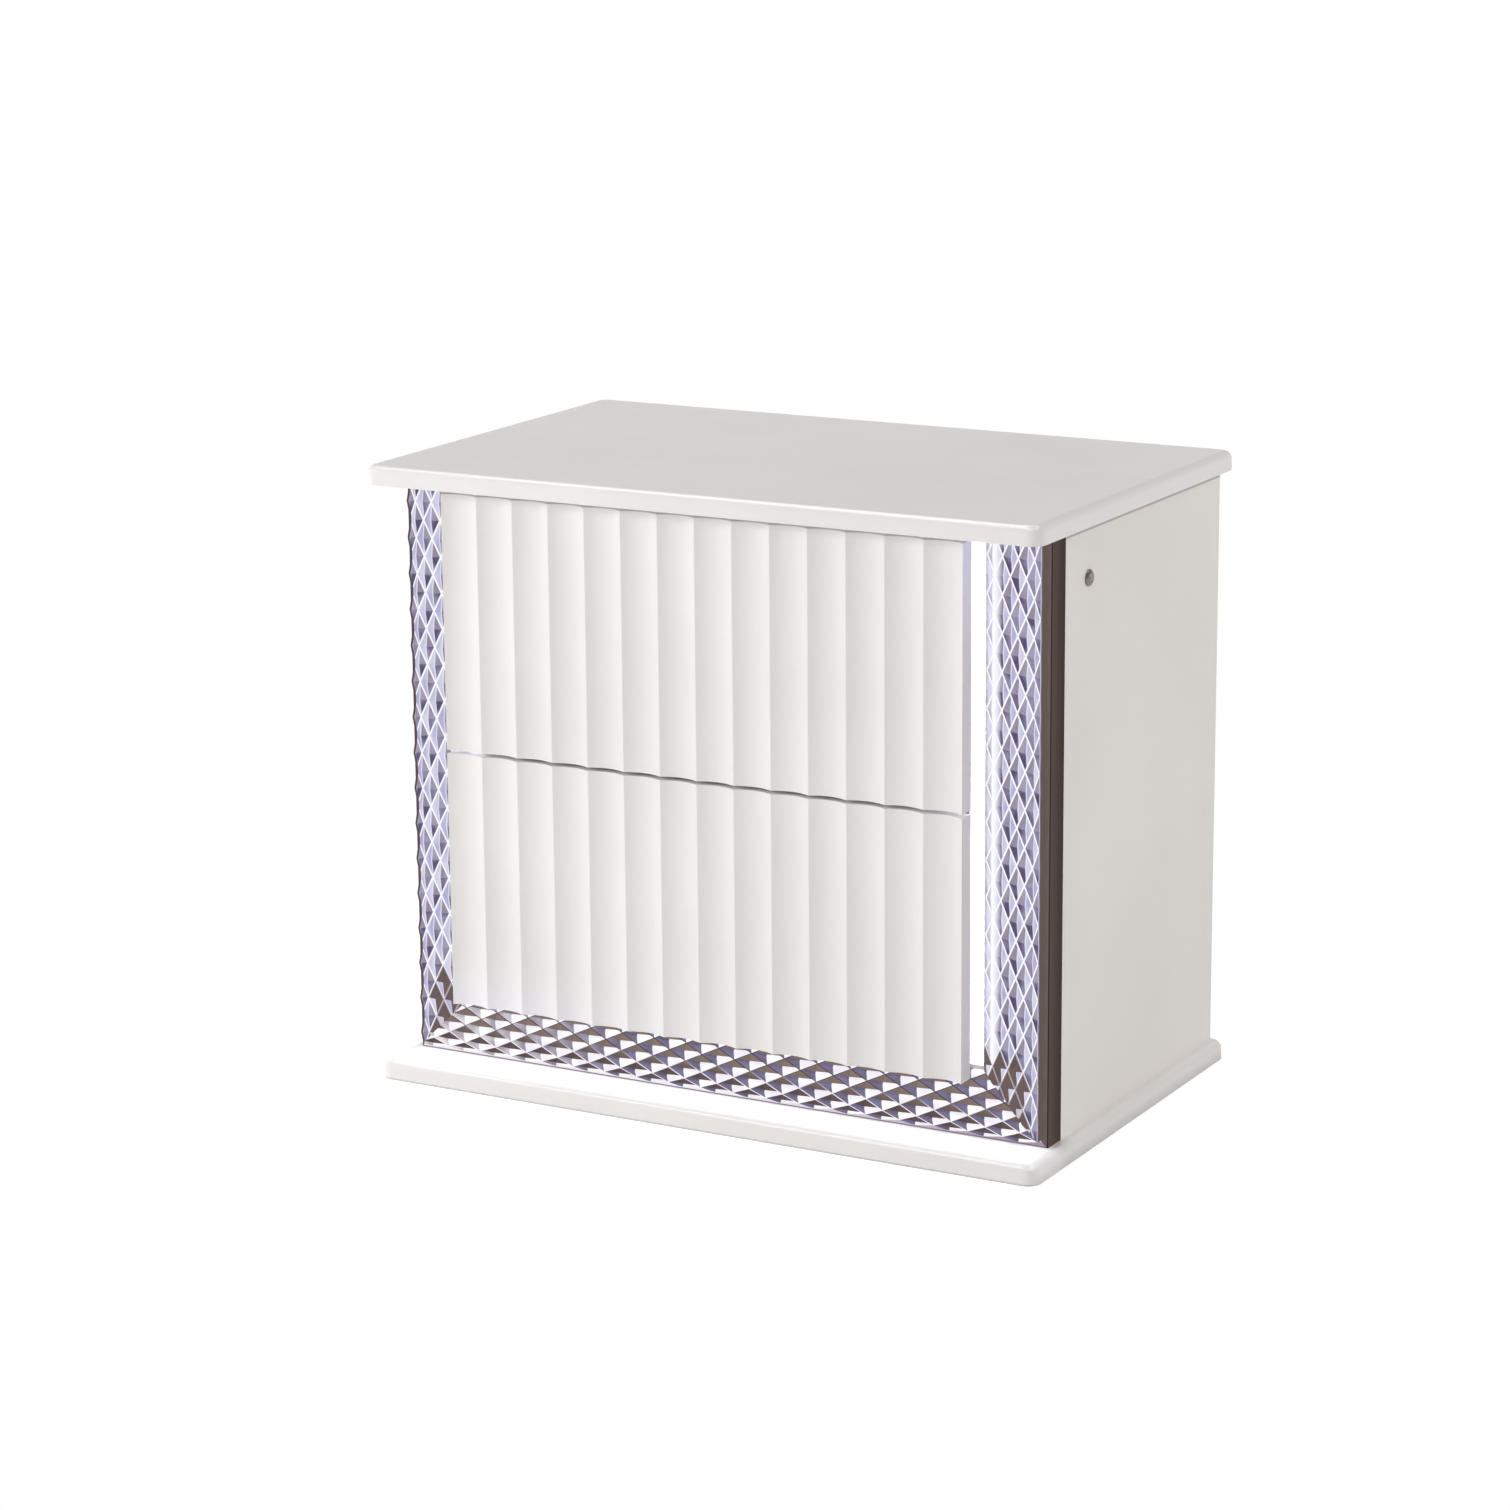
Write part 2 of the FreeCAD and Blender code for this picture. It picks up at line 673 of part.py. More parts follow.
bottom_low = size.bottom_start - place.half_body - size.diamond_length
bottom_moulding = moulding_solid(bottom_low, place.half_body + size.diamond_length)
bottom_moulding.rotate(FreeCAD.Vector(), FreeCAD.Vector(0, 1, 0), 90)
bottom_moulding.translate(FreeCAD.Vector(0, place.flange_y, place.floor_z))
outer_reach = place.half_body + spare - miss
inner_reach = place.partition_out_x - spare - miss
bottom_mitre = mitre([(-outer_reach, place.floor_z - spare), (outer_reach, place.floor_z - spare),
                      (inner_reach, place.moulding_top_z + spare),
                      (-inner_reach, place.moulding_top_z + spare)])
keep(mirrored("left_moulding", right_moulding), right_moulding,
     shaped("bottom_moulding", bottom_moulding.common(bottom_mitre)))

# Light channels between the mouldings and the drawers, open to the front
channel_floor = "led_back_y - led_wall"
channel_low = "partition_in_x + led_wall"
channel_high = "partition_out_x - led_wall"
right_channel = padded("right_led_channel",
                       [("partition_in_x", "flange_y"), (channel_low, "flange_y"),
                        (channel_low, channel_floor), (channel_high, channel_floor),
                        (channel_high, "flange_y"), ("partition_out_x", "flange_y"),
                        ("partition_out_x", "led_back_y"), ("partition_in_x", "led_back_y")],
                       "led_length")
seat(right_channel, z="led_bottom_z")
keep(mirrored("left_led_channel", right_channel), right_channel)

# Light strips: a ribbon with a row of chips
ribbon_left, ribbon_right = between("strip_width / 2")
right_strip = padded("right_led_strip", [(ribbon_left, "0"), (ribbon_right, "0"),
                                         (ribbon_right, "led_length"), (ribbon_left, "led_length")],
                     "strip_thick", "XZ_Plane")
chip_left, chip_right = between("chip_size / 2")
chip_low = "(chip_pitch - chip_size) / 2"
chip_high = "(chip_pitch + chip_size) / 2"
chip = right_strip.newObject("PartDesign::Pad", "chip")
chip.Profile = outline_sketch(right_strip, "chip_outline",
                              [(chip_left, chip_low), (chip_right, chip_low),
                               (chip_right, chip_high), (chip_left, chip_high)], "XZ_Plane")
bind(chip, "Length", "strip_thick + chip_rise")
right_strip.Tip = chip
document.recompute()
chip_count = "floor(led_length / chip_pitch)"
repeated(right_strip, chip, "V_Axis", f"chip_pitch * ({chip_count} - 1)", chip_count)
seat(right_strip, x="partition_mid_x", y=channel_floor, z="led_bottom_z")
keep(mirrored("left_led_strip", right_strip), right_strip)

# Milky covers that clip into the channels
clip_y = "flange_y + diffuser_clip"
lens_y = "flange_y + diffuser_thick"
right_diffuser = padded("right_led_diffuser",
                        [(channel_low, "flange_y"), (channel_high, "flange_y"), (channel_high, clip_y),
                         (channel_high + " - diffuser_thick", clip_y),
                         (channel_high + " - diffuser_thick", lens_y),
                         (channel_low + " + diffuser_thick", lens_y),
                         (channel_low + " + diffuser_thick", clip_y), (channel_low, clip_y)],
                        "led_length")
seat(right_diffuser, z="led_bottom_z")
keep(mirrored("left_led_diffuser", right_diffuser), right_diffuser)


def fluted_board(level):
    """A drawer front with a row of hollow flutes and narrow flat ridges between them."""
    left, right = between("front_width / 2")
    body = padded(f"{level}_drawer_front",
                  [(left, "front_face_y"), (right, "front_face_y"), (right, "front_back_y"),
                   (left, "front_back_y")], "front_height")
    whole = body.Tip.Shape.Volume
    sketch = new_sketch(body, f"{level}_flute_circle", "XY_Plane")
    middle_x = "flute_pitch / 2 - front_width / 2"
    middle_y = "front_face_y + flute_depth - flute_radius"
    middle = FreeCAD.Vector(value(middle_x), value(middle_y), 0)
    sketch.addGeometry(Part.Circle(middle, FreeCAD.Vector(0, 0, 1), place.flute_radius), False)
    hold(sketch, "across", middle_x, "DistanceX", -1, 1, 0, 3)
    hold(sketch, "along", middle_y, "DistanceY", -1, 1, 0, 3)
    hold(sketch, "hollow", "flute_radius", "Radius", 0)
    flute = body.newObject("PartDesign::Pocket", f"{level}_flute")
    flute.Profile = sketch
    flute.Type = THROUGH_ALL
    flute.Reversed = True
    body.Tip = flute
    document.recompute()
    if flute.Shape.Volume > whole - 1:
        raise ValueError("the flute cuts nothing")
    repeated(body, flute, "H_Axis", "front_width - flute_pitch", "flute_count")
    seat(body, z=f"{level}_front_z")
    return body


def edged_board(name, x, y, level, along):
    """A drawer board whose long top edges are bevelled."""
    body = padded(name, [(x[0], y[0]), (x[1], y[0]), (x[1], y[1]), (x[0], y[1])], "box_height")
    bevelled(body, "box_edge", lambda box: box.ZMin > size.box_height - TINY
             and getattr(box, along + "Length") > 2 * size.box_thick)
    seat(body, z=f"{level}_box_z")
    return body


def runner_member(name, level, web_x, inner_x, lip_x, half):
    """One member of a runner: a web with two flanges that point at the next member."""
    inner = f"{half} - runner_wall"
    body = padded(name, [(web_x, f"-({half})"), (web_x, half), (lip_x, half), (lip_x, inner),
                         (inner_x, inner), (inner_x, f"-({inner})"), (lip_x, f"-({inner})"),
                         (lip_x, f"-({half})")],
                  "runner_length", "XZ_Plane")
    seat(body, y="runner_back_y", z=f"{level}_box_z + runner_lift")
    return body


def drawer(level):
    """A drawer: its fluted front, and its box with the bottom in grooves."""
    bottom_z = f"{level}_box_z + bottom_lift"
    groove = board(f"{level}_groove", between("box_in_x + groove_depth"),
                   ("box_front_y - groove_depth", "box_rear_y + groove_depth"),
                   (bottom_z, f"{bottom_z} + bottom_thick + fit_gap"))
    bottom = board(f"{level}_drawer_bottom", between("box_in_x + groove_depth - fit_gap"),
                   ("box_front_y - groove_depth + fit_gap", "box_rear_y + groove_depth - fit_gap"),
                   (bottom_z, f"{bottom_z} + bottom_thick"))
    box_front = edged_board(f"{level}_front_board", between("box_half"), ("front_back_y", "box_front_y"),
                            level, "X")
    box_side = edged_board(f"{level}_side_board", ("box_in_x", "box_half"), ("box_front_y", "box_back_y"),
                           level, "Y")
    box_back = edged_board(f"{level}_back_board", between("box_in_x"), ("box_rear_y", "box_back_y"),
                           level, "X")
    right_side = cut(f"{level}_drawer_right_side", box_side, groove)
    keep(fluted_board(level), bottom, cut(f"{level}_drawer_box_front", box_front, groove), right_side,
         mirrored(f"{level}_drawer_left_side", right_side),
         cut(f"{level}_drawer_back", box_back, groove))


def runners(level):
    """The members of a level's two runners, nested in each other."""
    outer = runner_member(f"{level}_right_runner_outer", level, "partition_in_x",
                          "partition_in_x - runner_wall", "runner_lip_x", "outer_half")
    middle = runner_member(f"{level}_right_runner_middle", level, "middle_web_x",
                           "middle_web_x - runner_wall", "runner_lip_x", "middle_half")
    inner = runner_member(f"{level}_right_runner_inner", level, "box_half",
                          "box_half + runner_wall", "inner_lip_x", "inner_half")
    keep(mirrored(f"{level}_left_runner_outer", outer), outer,
         mirrored(f"{level}_left_runner_middle", middle), middle,
         mirrored(f"{level}_left_runner_inner", inner), inner)


# Two drawers, each with its runners
for drawer_level in LEVELS:
    drawer(drawer_level)
    runners(drawer_level)

document.recompute()
for item in document.Objects:
    if "Invalid" in item.State or "Error" in item.State:
        raise ValueError(f"{item.Name} is not in order: {item.State}")
for piece in kept:
    if piece.Shape.isNull() or not piece.Shape.isValid():
        raise ValueError(f"{piece.Label} has no valid shape")

os.makedirs("parts", exist_ok=True)
for piece in kept:
    piece.Shape.exportStep(f"parts/{piece.Label}.step")
print(len(kept), "sub-parts written")
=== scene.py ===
# %% [markdown]
# # A nightstand in white lacquer with lit mirror mouldings
# The cabinet's boards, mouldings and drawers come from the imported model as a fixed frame.
# This script gives each of them a finish with real detail, adds the small pieces that the
# frame leaves out, and sets the floor, the lamps and the camera.

# %% Load the frame
import json
import math

import bpy
from mathutils import Matrix, Vector


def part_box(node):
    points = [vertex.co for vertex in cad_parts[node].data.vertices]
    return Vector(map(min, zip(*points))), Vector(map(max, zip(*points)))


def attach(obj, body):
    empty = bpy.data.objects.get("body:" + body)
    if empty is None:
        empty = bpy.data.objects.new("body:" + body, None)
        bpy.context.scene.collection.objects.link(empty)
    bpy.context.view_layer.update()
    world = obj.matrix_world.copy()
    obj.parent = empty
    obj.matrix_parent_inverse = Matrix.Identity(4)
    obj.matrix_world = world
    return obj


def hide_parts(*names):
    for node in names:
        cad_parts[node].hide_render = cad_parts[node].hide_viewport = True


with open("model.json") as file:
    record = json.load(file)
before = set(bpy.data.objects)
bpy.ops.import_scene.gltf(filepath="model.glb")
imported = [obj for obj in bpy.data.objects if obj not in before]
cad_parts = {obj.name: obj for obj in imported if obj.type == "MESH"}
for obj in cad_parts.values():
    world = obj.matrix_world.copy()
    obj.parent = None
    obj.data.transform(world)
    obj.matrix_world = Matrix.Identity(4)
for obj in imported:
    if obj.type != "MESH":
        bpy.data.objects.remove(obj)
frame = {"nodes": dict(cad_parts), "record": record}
nodes = frame["nodes"]
slots = {part["node"]: part["material_slot"] for part in frame["record"]["subparts"]}


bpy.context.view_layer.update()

# %% [markdown]
# ## Camera
# The picture was taken from the front right and from above, with a long lens, which keeps
# the upright edges nearly parallel. A camera could be turned by hand until the edges
# agree. This one is built from numbers that were fitted to the cabinet's corners in the
# picture: its place, its turn to the side, its tilt down, a slight roll and the lens.

# %% Place the camera
EYE = Vector((1.8996, -3.5441, 1.2917))
TURN, TILT, ROLL = (math.radians(degrees) for degrees in (28.837, 13.761, 0.472))
PIXELS = 1510
FOCAL_PIXELS = 4409.4
SENSOR = 36.0
FARTHEST = 60

ahead = Vector((-math.sin(TURN) * math.cos(TILT), math.cos(TURN) * math.cos(TILT),
                -math.sin(TILT)))
level_right = Vector((math.cos(TURN), math.sin(TURN), 0))
level_down = ahead.cross(level_right)
right = level_right * math.cos(ROLL) + level_down * math.sin(ROLL)
down = level_down * math.cos(ROLL) - level_right * math.sin(ROLL)

camera_data = bpy.data.cameras.new("camera")
camera_data.sensor_width = SENSOR
camera_data.sensor_fit = "HORIZONTAL"
camera_data.lens = FOCAL_PIXELS / PIXELS * SENSOR
camera_data.clip_end = FARTHEST
camera = bpy.data.objects.new("camera", camera_data)
bpy.context.scene.collection.objects.link(camera)
turn = Matrix((right, -down, -ahead)).transposed().to_4x4()
camera.matrix_world = Matrix.Translation(EYE) @ turn
bpy.context.scene.camera = camera
bpy.context.scene.view_settings.view_transform = "Standard"
print("lens", round(camera_data.lens, 2))

# %% [markdown]
# ## Shader maths
# A material's pattern is arithmetic on its position. Its nodes could be placed and linked one
# by one, which is long and hard to read. Wrapping a socket in a small class lets the
# arithmetic be written as plain Python instead, and each operator adds one Math node.

# %% Sockets as numbers
class Socket:
    """A node's output that can be added, multiplied and so on."""

    def __init__(self, finish, output):
        self.finish = finish
        self.output = output

    def math(self, operation, *others):
        return self.finish.node("ShaderNodeMath", {"operation": operation}, (self, *others))

    def __add__(self, other):
        return self.math("ADD", other)

    __radd__ = __add__

    def __sub__(self, other):
        return self.math("SUBTRACT", other)

    def __rsub__(self, other):
        return self.finish.node("ShaderNodeMath", {"operation": "SUBTRACT"}, (other, self))

    def __mul__(self, other):
        return self.math("MULTIPLY", other)

    __rmul__ = __mul__

    def __truediv__(self, other):
        return self.math("DIVIDE", other)

    def size(self):
        """The number without its sign."""
        return self.math("ABSOLUTE")

    def most(self, other):
        """The greater of two numbers."""
        return self.math("MAXIMUM", other)

    def clamp(self):
        return self.most(0).math("MINIMUM", 1)

    def ramp(self, low, high):
        """0 below low, 1 above high and even between."""
        return ((self - low) / (high - low)).clamp()


# %% [markdown]
# ## Node trees
# Any other node comes from one method: what kind it is, its settings, and what goes into its
# sockets. A material has one Principled shader, and the world has only a background, so what
# both need is in one class and what a material needs besides is in a second.

# %% Trees and finishes
# A Mix node's colour sockets go by number, because its number sockets have the same names.
MIX_ONE, MIX_TWO, MIXED = 6, 7, 2


class Net:
    """A node tree, and short calls to add nodes to it."""

    def __init__(self, tree):
        self.tree = tree

    def node(self, kind, settings=None, inputs=(), output=0):
        """Add a node, set what it is, then fill its sockets with values or links."""
        made = self.tree.nodes.new(kind)
        for name, setting in (settings or {}).items():
            setattr(made, name, setting)
        pairs = inputs.items() if isinstance(inputs, dict) else enumerate(inputs)
        for socket, content in pairs:
            self.fill(made.inputs[socket], content)
        return Socket(self, made.outputs[output])

    def fill(self, socket, content):
        if isinstance(content, Socket):
            self.tree.links.new(content.output, socket)
        else:
            socket.default_value = content

    def place(self):
        """The position on the piece, in metres."""
        return self.node("ShaderNodeTexCoord", output="Object")

    def axes(self, place):
        """The three numbers of a position."""
        return [self.node("ShaderNodeSeparateXYZ", inputs=(place,), output=axis)
                for axis in range(3)]

    def noise(self, place, scale, detail=2.0):
        return self.node("ShaderNodeTexNoise", {"noise_dimensions": "3D"},
                         {"Vector": place, "Scale": scale, "Detail": detail, "Roughness": 0.5})

    def stretched_noise(self, place, scales, detail=2.0):
        """Noise with its own scale along each axis: a small one draws it out into streaks."""
        stretched = self.node("ShaderNodeVectorMath", {"operation": "MULTIPLY"}, (place, scales))
        return self.noise(stretched, 1.0, detail)

    def blend(self, share, one, two):
        """A colour between two others."""
        made = self.tree.nodes.new("ShaderNodeMix")
        made.data_type = "RGBA"
        self.fill(made.inputs["Factor"], share)
        for socket, color in ((made.inputs[MIX_ONE], one), (made.inputs[MIX_TWO], two)):
            self.fill(socket, color if isinstance(color, Socket) else (*color, 1))
        return Socket(self, made.outputs[MIXED])

    def light_path(self, *kinds):
        """1 for the kinds of ray that are named, else 0."""
        path = self.tree.nodes.new("ShaderNodeLightPath")
        total = Socket(self, path.outputs[kinds[0]])
        for kind in kinds[1:]:
            total = total.most(Socket(self, path.outputs[kind]))
        return total


class Finish(Net):
    """A material with one principled shader."""

    def __init__(self, name, **sockets):
        self.material = bpy.data.materials.new(name)
        self.material.use_nodes = True
        super().__init__(self.material.node_tree)
        self.shader = self.tree.nodes["Principled BSDF"]
        self.out = self.tree.nodes["Material Output"]
        for socket, content in sockets.items():
            self.set(socket.replace("_", " ").title().replace("Ior", "IOR"), content)

    def set(self, socket, content):
        """Give one of the shader's own sockets a value or a link."""
        self.fill(self.shader.inputs[socket], content)

    def bump(self, height, distance):
        """Let a height pattern tilt the surface."""
        self.set("Normal", self.node("ShaderNodeBump", inputs={
            "Height": height, "Distance": distance, "Strength": 1.0}))

    def glow(self, color, strength):
        """Light of the surface's own."""
        self.set("Emission Color", color)
        self.set("Emission Strength", strength)


def linear(red, green, blue):
    """A display colour from 0 to 255, as the light values that Blender works with.

    The curve is the usual one of displays: straight near black, then a power of 2.4.
    """
    return tuple((part / 255 / 12.92) if part <= 10 else ((part / 255 + 0.055) / 1.055) ** 2.4
                 for part in (red, green, blue))


BLACK = (0.0, 0.0, 0.0)
print("display grey 128 is", round(linear(128, 128, 128)[0], 3), "in light values")

# %% [markdown]
# ## Shades and glows on the boards
# Where boards meet under the top slab, thin lines of shadow fall on the real cabinet, and its
# lights throw a white glow on the base slab before them. More lamps could draw both, at the
# price of a grainy picture. Here they are painted shade and painted light: marks on the
# position, which stay crisp but move along with their board. Each mark is a number from 0 to
# 1 with soft edges. A shade mixes grey into the coat, and a glow adds light to it. A pair of
# numbers says where a mark begins and where it is full.

# %% Shades
SHADE = linear(120, 116, 112)
JOINT_SHADE, JOINT_SOFT, JOINT_CRISP = 0.6, 0.001, 0.0001
SLAB_FOOT, SLAB_FOOT_SHADE = (0.0008, 0.0022), 0.4
SLAB_SIDE, SLAB_SIDE_SHADE = (0.338, 0.3425), 0.07
SLAB_SIDE_FOOT, SLAB_SIDE_FOOT_SHADE = (0.001, 0.012), 0.27
FRONT_END, FRONT_END_SHADE = (0.2651, 0.2654), 0.2


def joint_shade(low, high):
    """A painted shadow line between two heights, soft below and crisp above, where a board lies
    under the top slab's edge.
    """
    def shade(x, y, z):
        return z.ramp(low, low + JOINT_SOFT) * (1 - z.ramp(high, high + JOINT_CRISP)) * JOINT_SHADE
    return shade


def slab_shade(x, y, z):
    """Painted shade at the base slab's foot all round, and on its right side, which is darker
    lower down.
    """
    foot = (1 - z.ramp(*SLAB_FOOT)) * SLAB_FOOT_SHADE
    lower_down = (1 - z.ramp(*SLAB_SIDE_FOOT)) * SLAB_SIDE_FOOT_SHADE
    return foot.most(x.ramp(*SLAB_SIDE) * (SLAB_SIDE_SHADE + lower_down))


def end_shade(x, y, z):
    """Painted shade on the end faces of the drawer fronts."""
    return x.size().ramp(*FRONT_END) * FRONT_END_SHADE


# %% Glows
LEDGE_LIGHT, FRONT_REFLECTION_AND_LIGHT = (0.92, 0.95, 1.0), (0.3, 0.32, 1.0)
LEDGE_FRONT, LEDGE_BACK, LEDGE_ENDS = (-0.212, -0.204), (-0.165, -0.15), (0.327, 0.345)
FRONT_FOOT, FRONT_LEFT, FOOT_GLOW = (0.083, 0.125), (-0.2, 0.0), 0.12
END_GLOW, HIGH_UP, HIGH_GLOW = 0.02, (0.46, 0.57), 0.30


def ledge_glow(x, y, z):
    """Painted light from the light strips, on the ledge of the base slab before the mouldings."""
    strip = y.ramp(*LEDGE_FRONT) * (1 - y.ramp(*LEDGE_BACK))
    return strip * (1 - x.size().ramp(*LEDGE_ENDS))


def front_glow(x, y, z):
    """Painted reflection of the moulding on the lower front's left foot, and painted light on the
    fronts' ends, stronger higher up.
    """
    foot = (1 - z.ramp(*FRONT_FOOT)) * (1 - x.ramp(*FRONT_LEFT)) * FOOT_GLOW
    return foot.most(x.size().ramp(*FRONT_END) * (END_GLOW + HIGH_GLOW * z.ramp(*HIGH_UP)))


print("the ledge's glow is", round((LEDGE_BACK[1] - LEDGE_FRONT[0]) * 1000), "mm deep")

# %% [markdown]
# ## White lacquer
# The slabs are sprayed in several coats and polished, so they mirror a bright room, but the
# mirror image swims: the coat has a faint orange peel. The drawer fronts and the side panels
# carry a satin coat, which scatters light more. A photograph of lacquer could be wrapped
# round the boards. Noise on the position needs no unwrapping and stays fine from close by:
# one for the peel, one for the marks of wiping, and a slow one for the barely visible clouds
# that a thick coat has.

# %% Lacquers
MIRRORING = 0.4
CLOUD_SCALE, CLOUD, CLOUD_TONE = 5.0, (0.35, 0.7), 0.955
PEEL_SCALE, PEEL_DULLS = 420.0, 0.02
WIPING, WIPING_DULLS = (9.0, 60.0, 60.0), 0.03
BOARD_GLOW = 0.6


def lacquer(name, color, roughness, peel, shades=(), glow=None):
    """A sprayed coat with its painted shades, and with a painted glow that is a mark and its
    colour.
    """
    finish = Finish(name, specular_ior_level=MIRRORING)
    place = finish.place()
    spot = finish.axes(place)
    cloud = finish.noise(place, CLOUD_SCALE, 3.0)
    coat = finish.blend(cloud.ramp(*CLOUD), color, tuple(part * CLOUD_TONE for part in color))
    for shade in shades:
        coat = finish.blend(shade(*spot), coat, SHADE)
    finish.set("Base Color", coat)
    grain = finish.noise(place, PEEL_SCALE, 1.0)
    wipe = finish.stretched_noise(place, WIPING)
    finish.set("Roughness", roughness + WIPING_DULLS * wipe + PEEL_DULLS * grain)
    finish.bump(grain, peel)
    if glow:
        mark, light = glow
        finish.glow(finish.blend(mark(*spot), BLACK, light), BOARD_GLOW)
    return finish.material


# %% Coats for the boards
WHITE, WARM_WHITE, MELAMINE = linear(243, 240, 238), linear(243, 238, 233), linear(232, 230, 226)
GLOSS, SATIN, PRESSED_COAT = (0.16, 0.00003), (0.42, 0.00006), (0.5, 0.0001)
PANEL_TOP = 0.572
# Painted shadow under the top slab: on the side panels below its overhang, and on the upper front
# in the gap beneath it.
SIDE_JOINT_SHADOW = (PANEL_TOP - 0.0084, PANEL_TOP - 0.001)
FRONT_GAP_SHADOW = (0.5668, 0.5688)
side_joint_shadow, front_gap_shadow = joint_shade(*SIDE_JOINT_SHADOW), joint_shade(*FRONT_GAP_SHADOW)
# Painted reflection on the lower front's foot and painted light on the fronts' ends, in one
# colour.
front_reflection_and_light = (front_glow, FRONT_REFLECTION_AND_LIGHT)

gloss = lacquer("white_gloss_lacquer", WHITE, *GLOSS)
# The base slab has painted shade at its foot and right side, and painted light on its ledge.
base_gloss = lacquer("white_gloss_lacquer_base", WHITE, *GLOSS, [slab_shade],
                     (ledge_glow, LEDGE_LIGHT))
side_satin = lacquer("white_satin_lacquer_sides", WARM_WHITE, *SATIN, [side_joint_shadow])
upper_satin = lacquer("white_satin_lacquer_upper", WHITE, *SATIN, [front_gap_shadow, end_shade],
                      front_reflection_and_light)
lower_satin = lacquer("white_satin_lacquer_lower", WHITE, *SATIN, [end_shade], front_reflection_and_light)
satin = lacquer("white_satin_lacquer", WHITE, *SATIN)
board = lacquer("white_melamine", MELAMINE, *PRESSED_COAT)
print("lacquers:", gloss.name, satin.name, board.name)

# %% [markdown]
# ## The net of diamonds
# The mouldings are clear plastic over a brown mirror film, cut into rows of raised diamonds.
# On the real ones each facet mirrors another part of a room. A plain metal shader mirrors
# this studio instead, where all is white or grey, and its facets would look alike. So each
# facet gets a painted reflection, its tone as light of its own, over a dark metal that
# mirrors only a little. The tones could be painted on an unwrapped mesh. A pattern on the
# position is exact as well, because the diamonds lie in even rows and columns, and each tone
# ends where its facet does.

# %% Where a point lies among the diamonds
HALF_BODY = 0.33  # from the middle to a side panel's outer face
FLOOR_Z = 0.018  # the base slab's upper face
FLANGE = 0.0072  # the flat border outside the diamonds
FIRST_COLUMN = 0.0133  # where the narrower column beside the border ends
COLUMN = 0.0082  # half a diamond's width
HALF_DIAMOND = 0.01715  # half its length
LEAST_COLUMN = 0.02  # the border counts as the first column's edge
RIDGE = 0.22  # the part of a column by which a ridge lies above its diamond's middle
CRISP = (-0.02, 0.02)  # where one facet's tone gives way to the next


def line_near(share, thin, thick):
    """1 on a groove, 0 away from it, from a share that runs from 0 to 1 between two grooves."""
    return 1 - share.math("MINIMUM", 1 - share).ramp(thin, thick)


class Diamonds:
    """Where a point lies in the net, from its distance across and its place along."""

    def __init__(self, across, along, start):
        shoulder = (across - FLANGE) / (FIRST_COLUMN - FLANGE)
        column = shoulder.math("MINIMUM", (across - FIRST_COLUMN) / COLUMN + 1)
        column = column.most(LEAST_COLUMN)
        row = (along - start) / HALF_DIAMOND
        self.scallop = 1 - ((row * 0.5).math("FRACT") * 2 - 1).size()
        self.one = ((column + row) * 0.5).math("FRACT")
        self.two = ((column - row) * 0.5).math("FRACT")
        self.from_ridge = self.one + self.two - 1
        self.from_middle = self.one - self.two
        self.upper = (self.from_ridge - RIDGE).ramp(*CRISP)
        self.before = 1 - self.from_middle.ramp(*CRISP)
        self.middle_along = along - self.from_middle * HALF_DIAMOND
        self.middle_across = across - self.from_ridge * COLUMN

    def grooves(self, one, two):
        """1 on the grooves of both directions, each with its thin and thick share."""
        return line_near(self.one, *one).most(line_near(self.two, *two))


# %% Haze on the film
HAZE_SCALE, HAZE = 30.0, (0.3, 0.7)
FILM_ROUGHNESS, HAZE_DULLS = 0.04, 0.08
WAVE_SCALE, WAVES = 90.0, 0.0001
TINT, HAZY_TINT = linear(150, 132, 126), linear(136, 119, 113)


def mirror_colors(finish, place):
    """Make the film a little dull and wavy, uneven all over, and give its tint."""
    haze = finish.noise(place, HAZE_SCALE, 3.0)
    finish.set("Roughness", FILM_ROUGHNESS + HAZE_DULLS * haze)
    finish.bump(finish.noise(place, WAVE_SCALE, 1.0), WAVES)
    return finish.blend(haze.ramp(*HAZE), TINT, HAZY_TINT)


# %% [markdown]
# ## The moulding along the bottom
# No light shines into this one, and its facets carry painted reflections. Above each ridge
# they are brown, as they mirror the room, and below it, where they mirror the base slab and
# the floor, one of the two is white and the other bluish. They could be numbered and given
# their tones one by one. Here a noise with large patches makes neighbours differ, as on the
# real film. The flange carries painted light too, pale on the left and darker to the right,
# with a painted shadow line at its foot.

# %% Tones of the bottom moulding
BROWN_BELOW, BROWN = linear(88, 75, 76), linear(122, 107, 101)
BLUISH_LEFT, BLUISH = linear(226, 220, 226), linear(104, 102, 138)
BLUISH_DARK = linear(70, 64, 78)
PALE, PALE_LAVENDER = linear(254, 251, 253), linear(216, 214, 234)
GROOVE_BELOW, GROOVE = linear(244, 240, 246), linear(40, 33, 36)
FLANGE_LEFT, FLANGE_RIGHT = linear(232, 226, 236), linear(150, 134, 152)
FOOT_SHADOW_LINE = linear(84, 78, 88)
print("brown in light values:", [round(part, 3) for part in BROWN])

# %% Bronze mirror
BOTTOM_START = -0.3628
HIGHER_ROWS = (0.020, 0.032)
BOTTOM_PATCHES, PATCH = (60.0, 0.0, 90.0), (0.35, 0.65)
BLUISH_BEGINS, BLUISH_PATCHED, PALE_PATCHED = (-0.31, -0.1), 0.5, 0.6
BOTTOM_GROOVES = ((0.018, 0.036), (0.010, 0.026))
FLANGE_FADES, FOOT_SHADOW_ENDS, FACETS_BEGIN = (0.0, 0.3), (0.0012, 0.0020), (0.0056, 0.0062)
BOTTOM_GLOW = 1.05
DARKENED, BROWN_DARKENED = 0.8, 0.18


